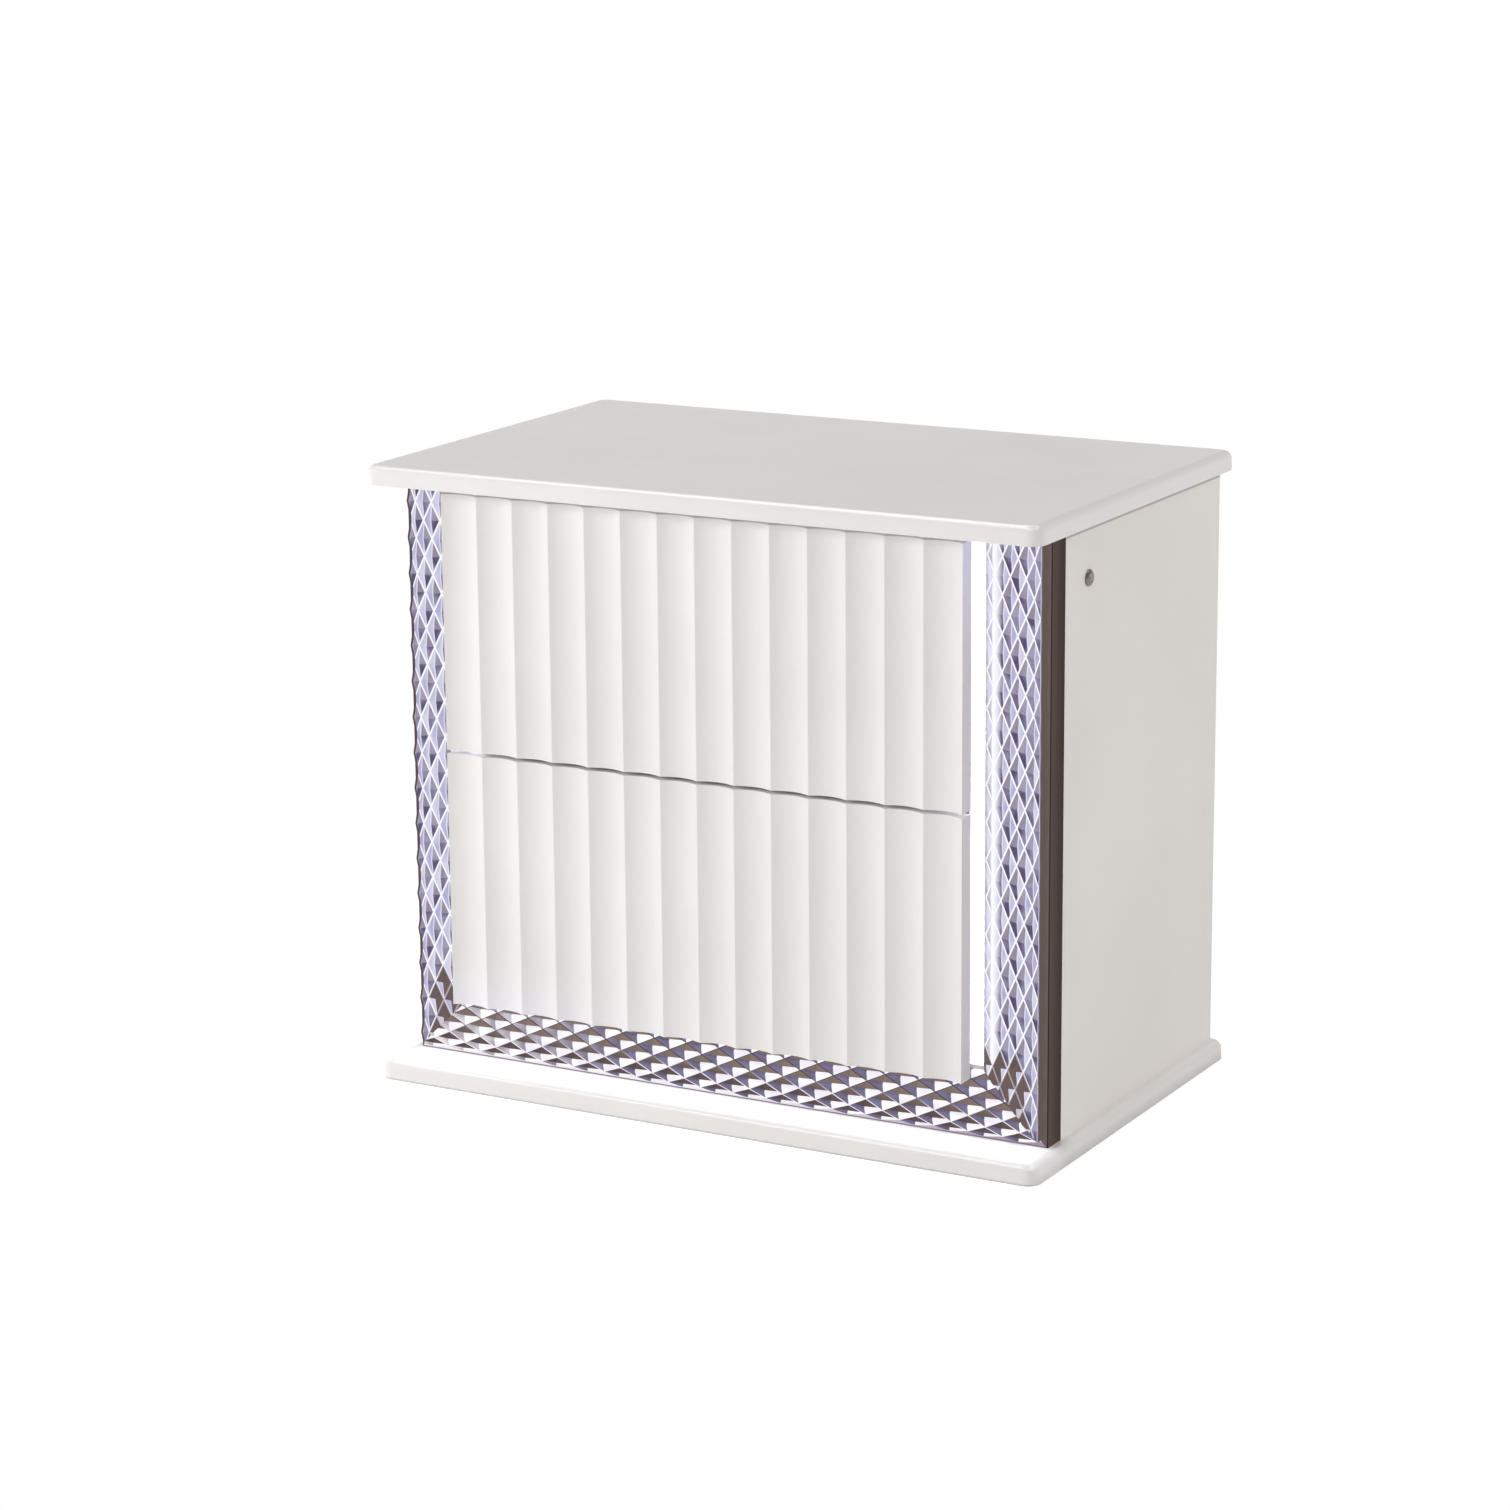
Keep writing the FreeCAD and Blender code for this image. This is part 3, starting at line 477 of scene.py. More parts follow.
def mirror_film():
    finish = Finish("bronze_mirror_film", metallic=1.0)
    place = finish.place()
    tint = mirror_colors(finish, place)
    x, _, z = finish.axes(place)
    across = z - FLOOR_Z
    net = Diamonds(across, x, BOTTOM_START)
    high = across.ramp(*HIGHER_ROWS)
    patch = finish.stretched_noise(place, BOTTOM_PATCHES, 0.0).ramp(*PATCH)

    # The facets' tones are painted reflections, given as light of the film's own.
    brown = finish.blend(high, BROWN_BELOW, BROWN)
    bluish = finish.blend(x.ramp(*BLUISH_BEGINS), BLUISH_LEFT, BLUISH)
    bluish = finish.blend(patch * BLUISH_PATCHED, bluish, BLUISH_DARK)
    pale = finish.blend(patch * PALE_PATCHED, PALE, PALE_LAVENDER)
    facet = finish.blend(net.upper, finish.blend(net.before, pale, bluish), brown)
    groove = finish.blend(high, GROOVE_BELOW, GROOVE)
    facet = finish.blend(net.grooves(*BOTTOM_GROOVES), facet, groove)

    # Painted light on the flange, pale on the left and darker to the right, over a painted shadow
    # line at its foot.
    flange = finish.blend(x.ramp(*FLANGE_FADES), FLANGE_LEFT, FLANGE_RIGHT)
    flange = finish.blend(across.ramp(*FOOT_SHADOW_ENDS), FOOT_SHADOW_LINE, flange)
    finish.glow(finish.blend(across.ramp(*FACETS_BEGIN), flange, facet), BOTTOM_GLOW)
    dark = DARKENED + BROWN_DARKENED * net.upper * net.before
    finish.set("Base Color", finish.blend(dark, tint, BLACK))
    return finish.material


mirror = mirror_film()
print("bottom moulding:", len(mirror.node_tree.nodes), "nodes")

# %% [markdown]
# ## The uprights
# They stand beside the lights, and their plastic carries the light along. That light is
# painted light of the film's own: the grooves and the diamonds' upright ridges shine white,
# the facets that turn to the light are grey brown and indigo, and the outer ones lavender. The
# glow ends above the lower corners, and it reaches further down along the outer edge than
# beside the light. A soft fade would look false, so whole facets are lit or not. Below, the
# facets carry painted reflections. The outer wall below the scallops, the corner line and
# the brown strip on the cabinet's side carry painted reflection and shade as well, and are
# told apart by how far back they lie.

# %% The film on the uprights
UPRIGHT_START = -0.0154
UPRIGHT_GROOVE = (0.040, 0.066)
MIDDLE = (-0.01, 0.01)
RIDGE_LIES, RIDGE_LIES_RIGHT = 0.05, 0.30
TURNED = (-0.03, 0.03)
MIRROR_TINT = (0.4, 0.3, 0.25, 1)


class UprightFilm(Finish):
    """The film on both uprights, with what its parts share about a point."""

    def __init__(self):
        super().__init__("lit_mirror_film", metallic=1.0, specular_tint=MIRROR_TINT)
        self.spot = self.place()
        self.x, self.y, z = self.axes(self.spot)
        self.on_right = self.x.ramp(*MIDDLE)
        self.across = HALF_BODY - self.x.size()
        self.net = Diamonds(self.across, z, UPRIGHT_START)
        self.bend = self.net.from_ridge + RIDGE_LIES_RIGHT * self.on_right - RIDGE_LIES
        self.inner = self.bend.ramp(*TURNED)
        self.groove = self.net.grooves(UPRIGHT_GROOVE, UPRIGHT_GROOVE)


# %% Lit facets
INNER_BEHIND, INNER_BEFORE = linear(158, 150, 170), linear(92, 85, 122)
GLINTS, GLINT, GLINT_SHARE = (52.0, 0.0, 58.0), (0.42, 0.62), 0.5
INNER_LIGHT = linear(188, 184, 214)
OUTER_PATCHES = (70.0, 0.0, 34.0)
OUTER, OUTER_LIGHT = linear(190, 188, 228), linear(226, 226, 250)
RIDGE_LINE, RIDGE_GLOW = (0.03, 0.09), 0.6
EDGE_BEGINS, EDGE_DIMS, EDGE_DIMMED = (0.0455, 0.0535), (0.0555, 0.0575), 0.6
SHINING = (1.15, 1.15, 1.2)


def lit_facets(film):
    """Painted light from the strip: facets with white grooves and ridges, and a white edge beside
    the light.
    """
    glint = film.stretched_noise(film.spot, GLINTS, 0.0).ramp(*GLINT)
    inner = film.blend(film.net.before, INNER_BEHIND, INNER_BEFORE)
    inner = film.blend(glint * GLINT_SHARE, inner, INNER_LIGHT)
    patch = film.stretched_noise(film.spot, OUTER_PATCHES, 0.0).ramp(*PATCH)
    facet = film.blend(film.inner, film.blend(patch, OUTER, OUTER_LIGHT), inner)
    ridge = 1 - film.bend.size().ramp(*RIDGE_LINE)
    edge = film.across.ramp(*EDGE_BEGINS) - film.across.ramp(*EDGE_DIMS) * EDGE_DIMMED
    line = film.groove.most(ridge * RIDGE_GLOW).most(edge.clamp())
    return film.blend(line, facet, SHINING)


# %% Facets that the light doesn't reach
UNLIT, UNLIT_WHITE, UNLIT_GROOVE = linear(98, 84, 82), linear(232, 228, 240), linear(226, 222, 240)
WHITE_SHARE, GROOVE_SHARE = 0.8, 0.5
LIGHT_END, LIGHT_END_OUTSIDE = 0.098, 0.085
INWARDS, OUTER_REACH, WHOLE_FACETS = (0.008, 0.026), 0.03, (-0.004, 0.004)


def unlit_facets(film):
    """Painted reflections: brown facets, with one white facet on each diamond."""
    white = (1 - film.inner) * film.net.before
    facet = film.blend(white * WHITE_SHARE, UNLIT, UNLIT_WHITE)
    return film.blend(film.groove * GROOVE_SHARE, facet, UNLIT_GROOVE)


def lit_share(film):
    """1 on the diamonds that the light reaches."""
    limit = LIGHT_END - (1 - film.net.middle_across.ramp(*INWARDS)) * LIGHT_END_OUTSIDE
    reach = film.net.middle_along + film.net.before * (1 - film.inner) * OUTER_REACH
    return (reach - limit).ramp(*WHOLE_FACETS)


# %% Wall, corner line and strip
# Painted reflection and shade on the wall and strip, a painted highlight along the wall's edge,
# and painted shade in the corner line.
WALL_TOP, DIAMOND_RISE = -0.168, 0.0026
EDGE_HIGHLIGHT_ENDS, WALL_DARKENS = (0.0004, 0.0009), (0.0012, 0.0034)
EDGE_HIGHLIGHT, UPPER_WALL, WALL = linear(236, 234, 248), linear(148, 140, 170), linear(108, 94, 89)
LEFT_WALL, CORNER_SHADE = linear(92, 79, 80), linear(30, 22, 19)
CORNER_SHADE_BEGINS, STRIP_BEGINS = (-0.1607, -0.1603), (-0.1597, -0.1591)
STRIP_DARKENS, STRIP_FRONT, STRIP = (-0.158, -0.138), linear(98, 86, 80), linear(78, 66, 62)
STREAKS, STREAK_RAMP, STREAK_SHARE = (0.0, 420.0, 6.0), (0.3, 0.7), 0.35
STREAK = linear(64, 53, 50)
SCALLOP, HEM, RAISED = 0.0016, 0.0016, (0.0001, 0.0004)


def sides(film):
    """Painted reflection and shade: the outer wall, lighter above and on the right, with a painted
    highlight line on its edge, the corner line in painted shade and the streaky strip, darker
    further back, one behind the other.
    """
    down_the_wall = film.y - WALL_TOP + film.net.scallop * DIAMOND_RISE
    wall = film.blend(down_the_wall.ramp(*WALL_DARKENS), UPPER_WALL, WALL)
    wall = film.blend(down_the_wall.ramp(*EDGE_HIGHLIGHT_ENDS), EDGE_HIGHLIGHT, wall)
    wall = film.blend(film.on_right, LEFT_WALL, wall)
    wall = film.blend(film.y.ramp(*CORNER_SHADE_BEGINS), wall, CORNER_SHADE)
    streak = film.stretched_noise(film.spot, STREAKS).ramp(*STREAK_RAMP)
    strip = film.blend(film.y.ramp(*STRIP_DARKENS), STRIP_FRONT, STRIP)
    strip = film.blend(streak * STREAK_SHARE, strip, STREAK)
    return film.blend(film.y.ramp(*STRIP_BEGINS), wall, strip)


def raised_share(film):
    """1 on the diamonds, inside the wavy line of the scallops."""
    edge = film.across - FLANGE + film.net.scallop * SCALLOP - HEM * (1 - film.on_right)
    return edge.ramp(*RAISED)


# %% Lit mirror
DARK_METAL = (0.012, 0.01, 0.012)
UPRIGHT_GLOW = 0.85
ALL_DARK, UNLIT_LESS_DARK = 0.98, 0.12


def lit_mirror_film():
    film = UprightFilm()
    tint = mirror_colors(film, film.spot)
    lit, raised = lit_share(film), raised_share(film)
    facets = film.blend(lit, unlit_facets(film), lit_facets(film))
    film.glow(film.blend(raised, sides(film), facets), UPRIGHT_GLOW)
    dark = ALL_DARK - UNLIT_LESS_DARK * raised * (1 - lit)
    film.set("Base Color", film.blend(dark, tint, DARK_METAL))
    return film.material


lit_mirror = lit_mirror_film()
print("uprights:", len(lit_mirror.node_tree.nodes), "nodes")

# %% [markdown]
# ## Metals, timber and plastics
# Most small finishes are two near tones of one material that a grain mixes, and the same
# grain makes the surface duller in places. Each could be written out, but they differ only in
# numbers, so one function makes them all. The light channel is brushed along its length, and
# the beech dowels have pores along their axis. The steel button and the matt moulded plastic
# of the dimmer and the socket have a fine, even grain.

# %% Grained finishes
def grained(name, scales, detail, tones, roughness, spread, bump=0.0, **sockets):
    """Two tones and a changing roughness over a grain with a scale along each axis."""
    finish = Finish(name, **sockets)
    grain = finish.stretched_noise(finish.place(), scales, detail)
    finish.set("Base Color", finish.blend(grain, *(linear(*tone) for tone in tones)))
    finish.set("Roughness", roughness + spread * grain)
    if bump:
        finish.bump(grain, bump)
    return finish


def even(scale):
    """The same scale along all three axes."""
    return (scale, scale, scale)


anodised = grained("anodised_aluminium", (900.0, 900.0, 12.0), 2.0,
                   ((205, 206, 210), (224, 225, 228)), 0.3, 0.15, 0.00003, metallic=1.0)
beech = grained("beech", (350.0, 350.0, 60.0), 3.0,
                ((196, 160, 116), (222, 190, 148)), 0.5, 0.2, 0.0001)
black_plastic = grained("black_plastic", even(1400.0), 1.0,
                        ((34, 34, 36), (48, 48, 50)), 0.45, 0.2, 0.00008)
bright_steel = grained("polished_steel", even(500.0), 1.0,
                       ((120, 112, 108), (142, 133, 128)), 0.08, 0.05, metallic=1.0)
print("grained:", anodised.material.name, beech.material.name, black_plastic.material.name)

# %% [markdown]
# ## Zinc plate
# Runners, fittings and screws are zinc plated. The plating grows in small crystals, each with
# its own tone and dullness. Noise has no such cells, so they come from a Voronoi pattern,
# whose cells each have a colour by chance. Faint streaks along the runners come from rolling.

# %% Zinc
ZINC, PALE_ZINC = linear(186, 188, 190), linear(208, 209, 208)
CRYSTALS, CRYSTALS_DULL = 160.0, 0.12
ROLLED, ROLLED_DULL, ROLLED_DEPTH = (300.0, 6.0, 300.0), 0.08, 0.00004
ZINC_ROUGHNESS = 0.26


def zinc():
    finish = Finish("zinc_plate", metallic=1.0)
    place = finish.place()
    cells = finish.node("ShaderNodeTexVoronoi", inputs={"Vector": place, "Scale": CRYSTALS},
                        output="Color")
    crystal = finish.node("ShaderNodeSeparateColor", inputs=(cells,))
    finish.set("Base Color", finish.blend(crystal, ZINC, PALE_ZINC))
    streak = finish.stretched_noise(place, ROLLED)
    finish.set("Roughness", ZINC_ROUGHNESS + CRYSTALS_DULL * crystal + ROLLED_DULL * streak)
    finish.bump(streak, ROLLED_DEPTH)
    return finish.material


zinc_plate = zinc()
print("zinc:", len(zinc_plate.node_tree.nodes), "nodes")

# %% [markdown]
# ## Light
# The strip sits behind a milky cover and shines cool white. A lamp behind a cover that lets
# light through would be true to life but slow and grainy, so the cover itself shines. It
# hides the single chips almost fully: a wave along its length, with one crest for each chip,
# only makes it a little paler there.

# %% Milky cover and strip
CHIP_PITCH = 0.0166
COOL, PALER_COOL = (0.66, 0.71, 1.0), (0.80, 0.84, 1.0)
COVER_STRENGTH = 6.0

light_strip = grained("light_strip", even(900.0), 1.0,
                      ((236, 233, 216), (246, 244, 232)), 0.45, 0.1)
milky_cover = grained("milky_cover", even(200.0), 2.0,
                      ((238, 242, 250), (250, 252, 255)), 0.35, 0.1)
along_strip = milky_cover.axes(milky_cover.place())[2]
chip = (along_strip * (2 * math.pi / CHIP_PITCH)).math("COSINE") * 0.5 + 0.5
milky_cover.glow(milky_cover.blend(chip.clamp(), COOL, PALER_COOL), COVER_STRENGTH)
print("a chip every", CHIP_PITCH * 1000, "mm")

# %% [markdown]
# ## Give every piece its finish
# Each node of the frame names its kind of material, so most finishes go by that name. The
# pieces with painted shade, painted light or diamonds at their own place get a finish of their
# own.

# %% Finishes by slot and by piece
finishes = {
    "white_gloss": gloss, "white_satin": satin, "white_board": board, "bronze_mirror": mirror,
    "beech": beech.material, "anodised": anodised.material, "milky": milky_cover.material,
    "strip": light_strip.material, "bright_steel": bright_steel.material,
    "zinc_steel": zinc_plate, "black_plastic": black_plastic.material,
}
own_finishes = {"left_moulding": lit_mirror, "right_moulding": lit_mirror,
                "base_slab": base_gloss,
                "left_side_panel": side_satin, "right_side_panel": side_satin,
                "upper_drawer_front": upper_satin, "lower_drawer_front": lower_satin}
for node, slot in slots.items():
    mesh = nodes[node].data
    if not mesh.materials:
        mesh.materials.append(None)
    for index in range(len(mesh.materials)):
        mesh.materials[index] = own_finishes.get(node, finishes[slot])
print(len(slots), "nodes have their finish")

# %% [markdown]
# ## Modelling by hand
# Every new piece starts as a primitive, is shaped in edit mode and is closed in the same way.
# An operator acts on all that is selected, so faces are selected by their place or by where
# they look. At the end the piece's place goes into its mesh, because patterns read the
# position from there, and the piece says which body it rides on.

# %% Helpers for modelling
def start_piece(name):
    """Name the new primitive and open it for editing with nothing selected."""
    piece = bpy.context.object
    piece.name = name
    piece.data.name = name
    bpy.ops.object.mode_set(mode="EDIT")
    bpy.ops.mesh.select_mode(type="FACE")
    bpy.ops.mesh.select_all(action="DESELECT")
    return piece


def pick_faces(piece, test):
    """Select the faces whose centre and normal pass a test."""
    bpy.ops.object.mode_set(mode="OBJECT")
    for face in piece.data.polygons:
        face.select = test(face.center, face.normal)
    bpy.ops.object.mode_set(mode="EDIT")


def end_piece(piece, finish, body, angle=40):
    """Close the edit, put the place in the mesh, and give finish and body."""
    if bpy.context.object.mode == "EDIT":
        bpy.ops.object.mode_set(mode="OBJECT")
    bpy.ops.object.select_all(action="DESELECT")
    piece.select_set(True)
    bpy.context.view_layer.objects.active = piece
    bpy.ops.object.transform_apply(location=True, rotation=True, scale=True)
    bpy.ops.object.shade_smooth_by_angle(angle=math.radians(angle))
    piece.data.materials.clear()
    piece.data.materials.append(finish)
    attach(piece, body)


# %% [markdown]
# ## Touch button
# A polished steel head stands on the right side panel. It is a low dome with a fine groove
# round its middle, where the finger goes. A profile could be spun round an axis. Here a
# cylinder's end face is inset step by step and each ring is moved to its height, which gives
# the same turned shape and keeps the mesh closed. A stem reaches through the panel to the nut.

# %% Button
BUTTON_RADIUS = 0.0076
RIM_HEIGHT = 0.0012
STEM_RADIUS = 0.004
STEM_LENGTH = 0.024
ROUND_SIDES = 48
FACING = 0.9
# Each ring's radius and its height over the rim, from the rim inwards.
DOME = [(0.0072, 0.0006), (0.0064, 0.0012), (0.0054, 0.0017), (0.0045, 0.0020), (0.0041, 0.00195),
        (0.0038, 0.0016), (0.0036, 0.0016), (0.0034, 0.0020), (0.0024, 0.00215), (0.0012, 0.0022)]

bpy.ops.object.select_all(action="DESELECT")
button_low, button_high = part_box("touch_button")
button_y, button_z = ((button_low[axis] + button_high[axis]) / 2 for axis in (1, 2))
bpy.ops.mesh.primitive_cylinder_add(
    vertices=ROUND_SIDES, radius=BUTTON_RADIUS, depth=RIM_HEIGHT,
    location=(HALF_BODY + RIM_HEIGHT / 2, button_y, button_z), rotation=(0, math.radians(90), 0))
button = start_piece("touch_button_head")
pick_faces(button, lambda center, normal: normal.z > FACING)
radius, height = BUTTON_RADIUS, 0.0
for next_radius, next_height in DOME:
    bpy.ops.mesh.inset(thickness=radius - next_radius, depth=0)
    bpy.ops.transform.translate(value=(next_height - height, 0, 0))
    radius, height = next_radius, next_height
bpy.ops.mesh.poke()
bpy.ops.mesh.select_all(action="DESELECT")
pick_faces(button, lambda center, normal: normal.z < -FACING)
bpy.ops.mesh.inset(thickness=BUTTON_RADIUS - STEM_RADIUS, depth=0)
bpy.ops.mesh.extrude_region_move(TRANSFORM_OT_translate={"value": (-STEM_LENGTH, 0, 0)})
end_piece(button, finishes["bright_steel"], "carcass", 30)
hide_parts("touch_button")
print("button of", len(button.data.polygons), "faces")

# %% [markdown]
# ## Screws
# Small pan-head screws hold the runners on the drawer boxes, the fronts on the boxes, and the
# back panel on the carcass. One head is modelled: a cylinder whose top edge is bevelled to a
# soft dome. The cross recess could be extruded inwards face by face, but two thin blades cut
# it in one step each. The head is then copied to every place.

# %% One screw head
HEAD_RADIUS = 0.0032
HEAD_RISE = 0.0016
DOME_EDGE = 0.0011
HEAD_SIDES, DOME_STEPS = 20, 3
TINY = 1e-5
BLADE = (0.0036, 0.0007, 0.0018)

bpy.ops.object.select_all(action="DESELECT")
bpy.ops.mesh.primitive_cylinder_add(vertices=HEAD_SIDES, radius=HEAD_RADIUS, depth=HEAD_RISE,
                                    location=(0, 0, HEAD_RISE / 2))
head = start_piece("screw_head")
bpy.ops.mesh.select_mode(type="EDGE")
bpy.ops.object.mode_set(mode="OBJECT")
for edge in head.data.edges:
    ends = [head.data.vertices[number].co.z for number in edge.vertices]
    edge.select = min(ends) > HEAD_RISE / 2 - TINY
bpy.ops.object.mode_set(mode="EDIT")
bpy.ops.mesh.bevel(offset=DOME_EDGE, segments=DOME_STEPS, affect="EDGES")
bpy.ops.object.mode_set(mode="OBJECT")
for angle in (0, math.radians(90)):
    bpy.ops.mesh.primitive_cube_add(size=1, location=(0, 0, HEAD_RISE), rotation=(0, 0, angle))
    blade = bpy.context.object
    blade.scale = BLADE
    recess = head.modifiers.new("recess", "BOOLEAN")
    recess.operation = "DIFFERENCE"
    recess.object = blade
    bpy.context.view_layer.objects.active = head
    bpy.ops.object.modifier_apply(modifier=recess.name)
    bpy.data.objects.remove(blade)
print("screw head of", len(head.data.polygons), "faces")

# %% Copy it to its places
TURNS = {"+x": Matrix.Rotation(math.radians(90), 4, "Y"),
         "-x": Matrix.Rotation(math.radians(-90), 4, "Y"),
         "+y": Matrix.Rotation(math.radians(-90), 4, "X")}


def screws(name, body, spots):
    """Join copies of the head, each at its spot and facing its way."""
    heads = []
    for x, y, z, way in spots:
        one = bpy.data.objects.new(name, head.data.copy())
        bpy.context.scene.collection.objects.link(one)
        one.data.transform(Matrix.Translation((x, y, z)) @ TURNS[way] @ head.matrix_world)
        heads.append(one)
    bpy.ops.object.select_all(action="DESELECT")
    for one in heads:
        one.select_set(True)
    bpy.context.view_layer.objects.active = heads[0]
    bpy.ops.object.join()
    heads[0].name = name
    end_piece(heads[0], finishes["zinc_steel"], body, 35)
    print(name, "of", len(spots), "heads")


# %% Screws of the drawers
RUNNER_WALL = 0.0012
ALONG_RUNNER = (0.13, 0.5, 0.87)
FRONT_SCREWS_X = (-0.15, 0.15)
FRONT_SCREWS_EDGE = 0.045
for level in ("upper", "lower"):
    spots = []
    for side, sign, way in (("left", -1, "-x"), ("right", 1, "+x")):
        low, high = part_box(f"{level}_{side}_runner_inner")
        wall_x = min(abs(low.x), abs(high.x)) + RUNNER_WALL
        for share in ALONG_RUNNER:
            along = low.y + share * (high.y - low.y)
            spots.append((sign * wall_x, along, (low.z + high.z) / 2, way))
    low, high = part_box(f"{level}_drawer_box_front")
    for x in FRONT_SCREWS_X:
        for z in (low.z + FRONT_SCREWS_EDGE, high.z - FRONT_SCREWS_EDGE):
            spots.append((x, high.y, z, "+y"))
    screws(f"{level}_drawer_screw_heads", f"{level}_drawer", spots)

# %% Screws of the back panel
PARTITION_X, PARTITION_HEIGHTS = 0.2595, (0.05, 0.21, 0.38, 0.54)
SIDE_X, SIDE_HEIGHTS = 0.318, (0.05, 0.295, 0.54)
low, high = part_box("back_panel")
spots = [(sign * PARTITION_X, high.y, z, "+y") for sign in (-1, 1) for z in PARTITION_HEIGHTS]
spots += [(sign * SIDE_X, high.y, z, "+y") for sign in (-1, 1) for z in SIDE_HEIGHTS]
screws("back_panel_screw_heads", "carcass", spots)
bpy.data.objects.remove(head)

# %% [markdown]
# ## End caps of the light channels
# An aluminium channel gets a small cap at its open end, in the gap between the channel and
# the bottom moulding. A plain block would look cut off, so its front is set in a little, as
# on a pressed cap, and its edges are softened with a fine bevel.

# %% Channel caps
CAP = (0.0156, 0.0044, 0.0012)
CAP_SETBACK = 0.0004
PRESSED = {"thickness": 0.00025, "depth": -0.00015}
SOFT_EDGE = 0.0002
for side in ("left", "right"):
    low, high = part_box(f"{side}_led_channel")
    bpy.ops.object.select_all(action="DESELECT")
    middle = ((low.x + high.x) / 2, low.y + CAP_SETBACK + CAP[1] / 2, low.z - CAP[2] / 2)
    bpy.ops.mesh.primitive_cube_add(size=1, location=middle)
    cap = start_piece(f"{side}_channel_cap")
    bpy.ops.mesh.select_all(action="SELECT")
    bpy.ops.transform.resize(value=CAP)
    pick_faces(cap, lambda center, normal: normal.y < -FACING)
    bpy.ops.mesh.inset(**PRESSED)
    bpy.ops.object.mode_set(mode="OBJECT")
    soft = cap.modifiers.new("soft_edges", "BEVEL")
    soft.width, soft.segments = SOFT_EDGE, 2
    bpy.ops.object.modifier_apply(modifier=soft.name)
    end_piece(cap, finishes["anodised"], "carcass")
    print(cap.name, "of", len(cap.data.polygons), "faces")

# %% [markdown]
# ## Floor
# The photo has a plain white background. A brighter floor or more lamps would wash out the
# cabinet, so the floor is a plain pale grey to the lamps and only looks white to the camera
# and in mirrors. Near the cabinet it adds half of that white itself and leaves the rest to
# the lamps, so a soft shadow still shows. Further out it is pure white.

# %% Floor
FLOOR_LIGHT = 0.5
PURE_WHITE_FROM = (0.55, 1.2)
PALE_GREY, PALER_GREY = (0.79, 0.79, 0.79), (0.81, 0.81, 0.81)
FLOOR_SIZE = 24
MIRRORS = ("Is Glossy Ray", "Is Transmission Ray")


def stage_finish():
    """White to the eye and in mirrors, fully so further out, and shadowed near the cabinet."""
    finish = Finish("stage_white", roughness=0.9)
    place = finish.place()
    grain = finish.noise(place, 2.0, 2.0)
    finish.set("Base Color", finish.blend(grain, PALE_GREY, PALER_GREY))
    seen = finish.light_path("Is Camera Ray", *MIRRORS)
    own_light = finish.node("ShaderNodeEmission", inputs={"Strength": seen * FLOOR_LIGHT})
    shaded = Socket(finish, finish.shader.outputs[0])
    near = finish.node("ShaderNodeAddShader", inputs=(shaded, own_light))
    away = finish.node("ShaderNodeVectorMath", {"operation": "LENGTH"}, (place,), output="Value")
    far = finish.node("ShaderNodeEmission", inputs={"Strength": 1.0})
    share = seen * away.ramp(*PURE_WHITE_FROM)
    mixed = finish.node("ShaderNodeMixShader", inputs=(share, near, far))
    finish.fill(finish.out.inputs["Surface"], mixed)
    return finish.material


bpy.ops.object.select_all(action="DESELECT")
bpy.ops.mesh.primitive_plane_add(size=FLOOR_SIZE, location=(0, 0, 0))
floor = bpy.context.object
floor.name = "floor"
floor.data.materials.append(stage_finish())
print("floor of", FLOOR_SIZE, "m")

# %% [markdown]
# ## World
# The world gives an even light from all round. The camera sees it as pure white. Mirrors see
# a room of their own: white behind the cabinet, a mid grey room before it, and a bright zone
# overhead that draws the light line on the slabs' round edges and on the button. A picture of
# a real room could do that too, but three plain zones need no file.

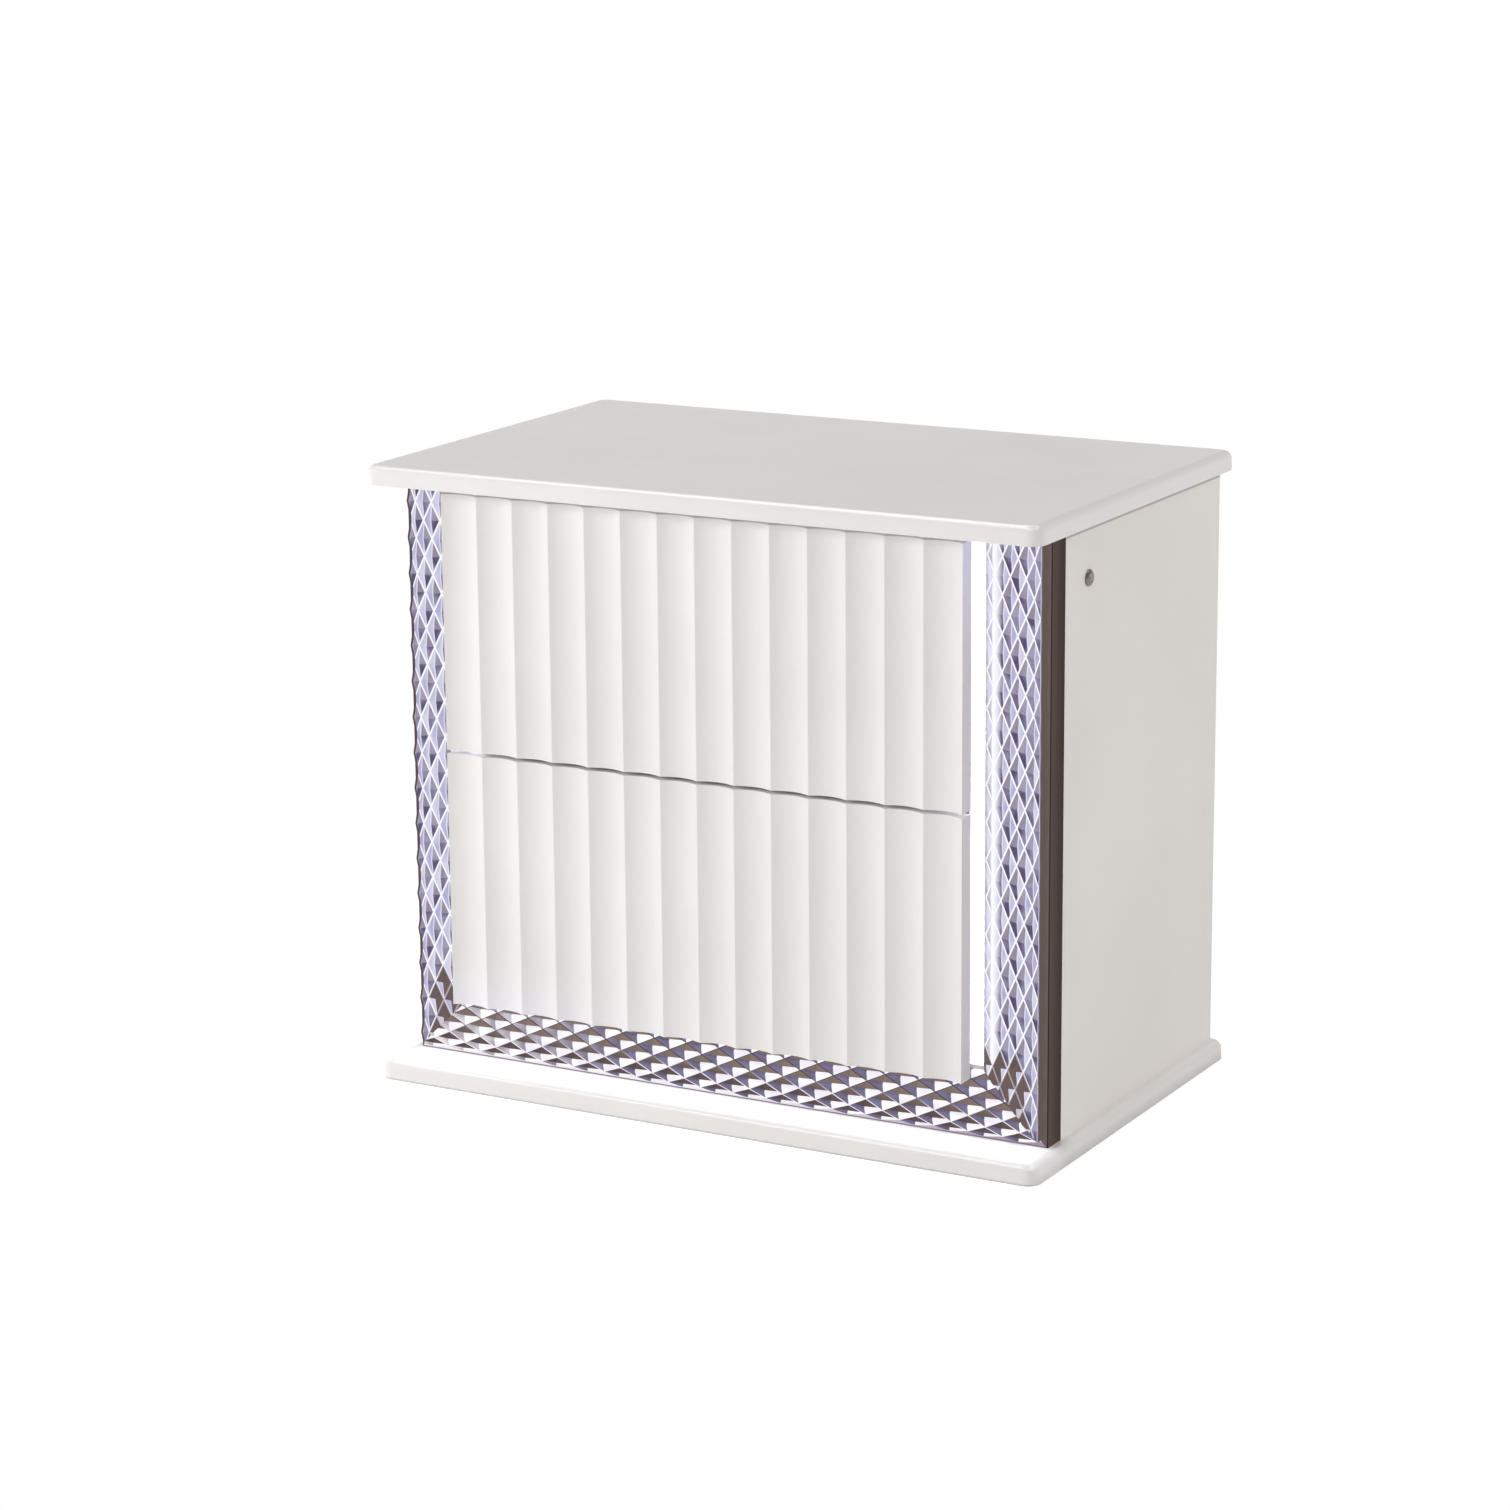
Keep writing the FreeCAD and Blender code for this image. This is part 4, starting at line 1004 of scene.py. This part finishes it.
# %% World
AMBIENT = (0.555, 0.555, 0.555)
ROOM = (0.42, 0.40, 0.385)
BRIGHT = (7.0, 7.0, 7.0)
PURE_WHITE = (1.0, 1.0, 1.0)
REAR_BEGINS, REAR_DIMS, REAR_DIMMED = (-0.1, 0.35), (0.08, 0.18), 0.7
BRIGHT_BEGINS, BRIGHT_ENDS = (0.80, 0.85), (0.92, 0.96)

world = bpy.data.worlds.new("studio")
bpy.context.scene.world = world
world.use_nodes = True
studio = Net(world.node_tree)
direction = studio.node("ShaderNodeTexCoord")
_, backward, upward = studio.axes(direction)
behind = backward.ramp(*REAR_BEGINS) * (1 - REAR_DIMMED * upward.ramp(*REAR_DIMS))
overhead = upward.ramp(*BRIGHT_BEGINS) * (1 - upward.ramp(*BRIGHT_ENDS))
mirrored_room = studio.blend(overhead, studio.blend(behind, ROOM, PURE_WHITE), BRIGHT)
shown = studio.blend(studio.light_path(*MIRRORS), AMBIENT, mirrored_room)
shown = studio.blend(studio.light_path("Is Camera Ray"), shown, PURE_WHITE)
studio.fill(world.node_tree.nodes["Background"].inputs["Color"], shown)
print("world:", len(world.node_tree.nodes), "nodes")

# %% [markdown]
# ## Lamps
# Three large soft lamps stand at the front left, at the right side and at the rear. The first
# is the strongest and comes from the side, so that each hollow flute has a light and a dark
# flank. Mirrors don't see the lamps, because a square lamp in a polished slab looks odd.

# %% Lamps
LAMP_SIZE = 1.6
AIM = Vector((0, 0, 0.3))
LAMPS = {"front_lamp": ((-2.55, -2.45, 1.52), 63),
         "side_lamp": ((3.2, -0.6, 1.2), 12),
         "rear_lamp": ((1.2, 3.0, 1.3), 10)}


def soft_lamp(name, spot, power):
    lamp = bpy.data.lights.new(name, "AREA")
    lamp.shape = "RECTANGLE"
    lamp.size, lamp.size_y = LAMP_SIZE, LAMP_SIZE
    lamp.energy = power
    holder = bpy.data.objects.new(name, lamp)
    bpy.context.scene.collection.objects.link(holder)
    holder.location = spot
    holder.rotation_euler = (AIM - Vector(spot)).to_track_quat("-Z", "Y").to_euler()
    holder.visible_camera = False
    holder.visible_glossy = False
    print(name, "of", power, "W")


for name, (spot, power) in LAMPS.items():
    soft_lamp(name, spot, power)
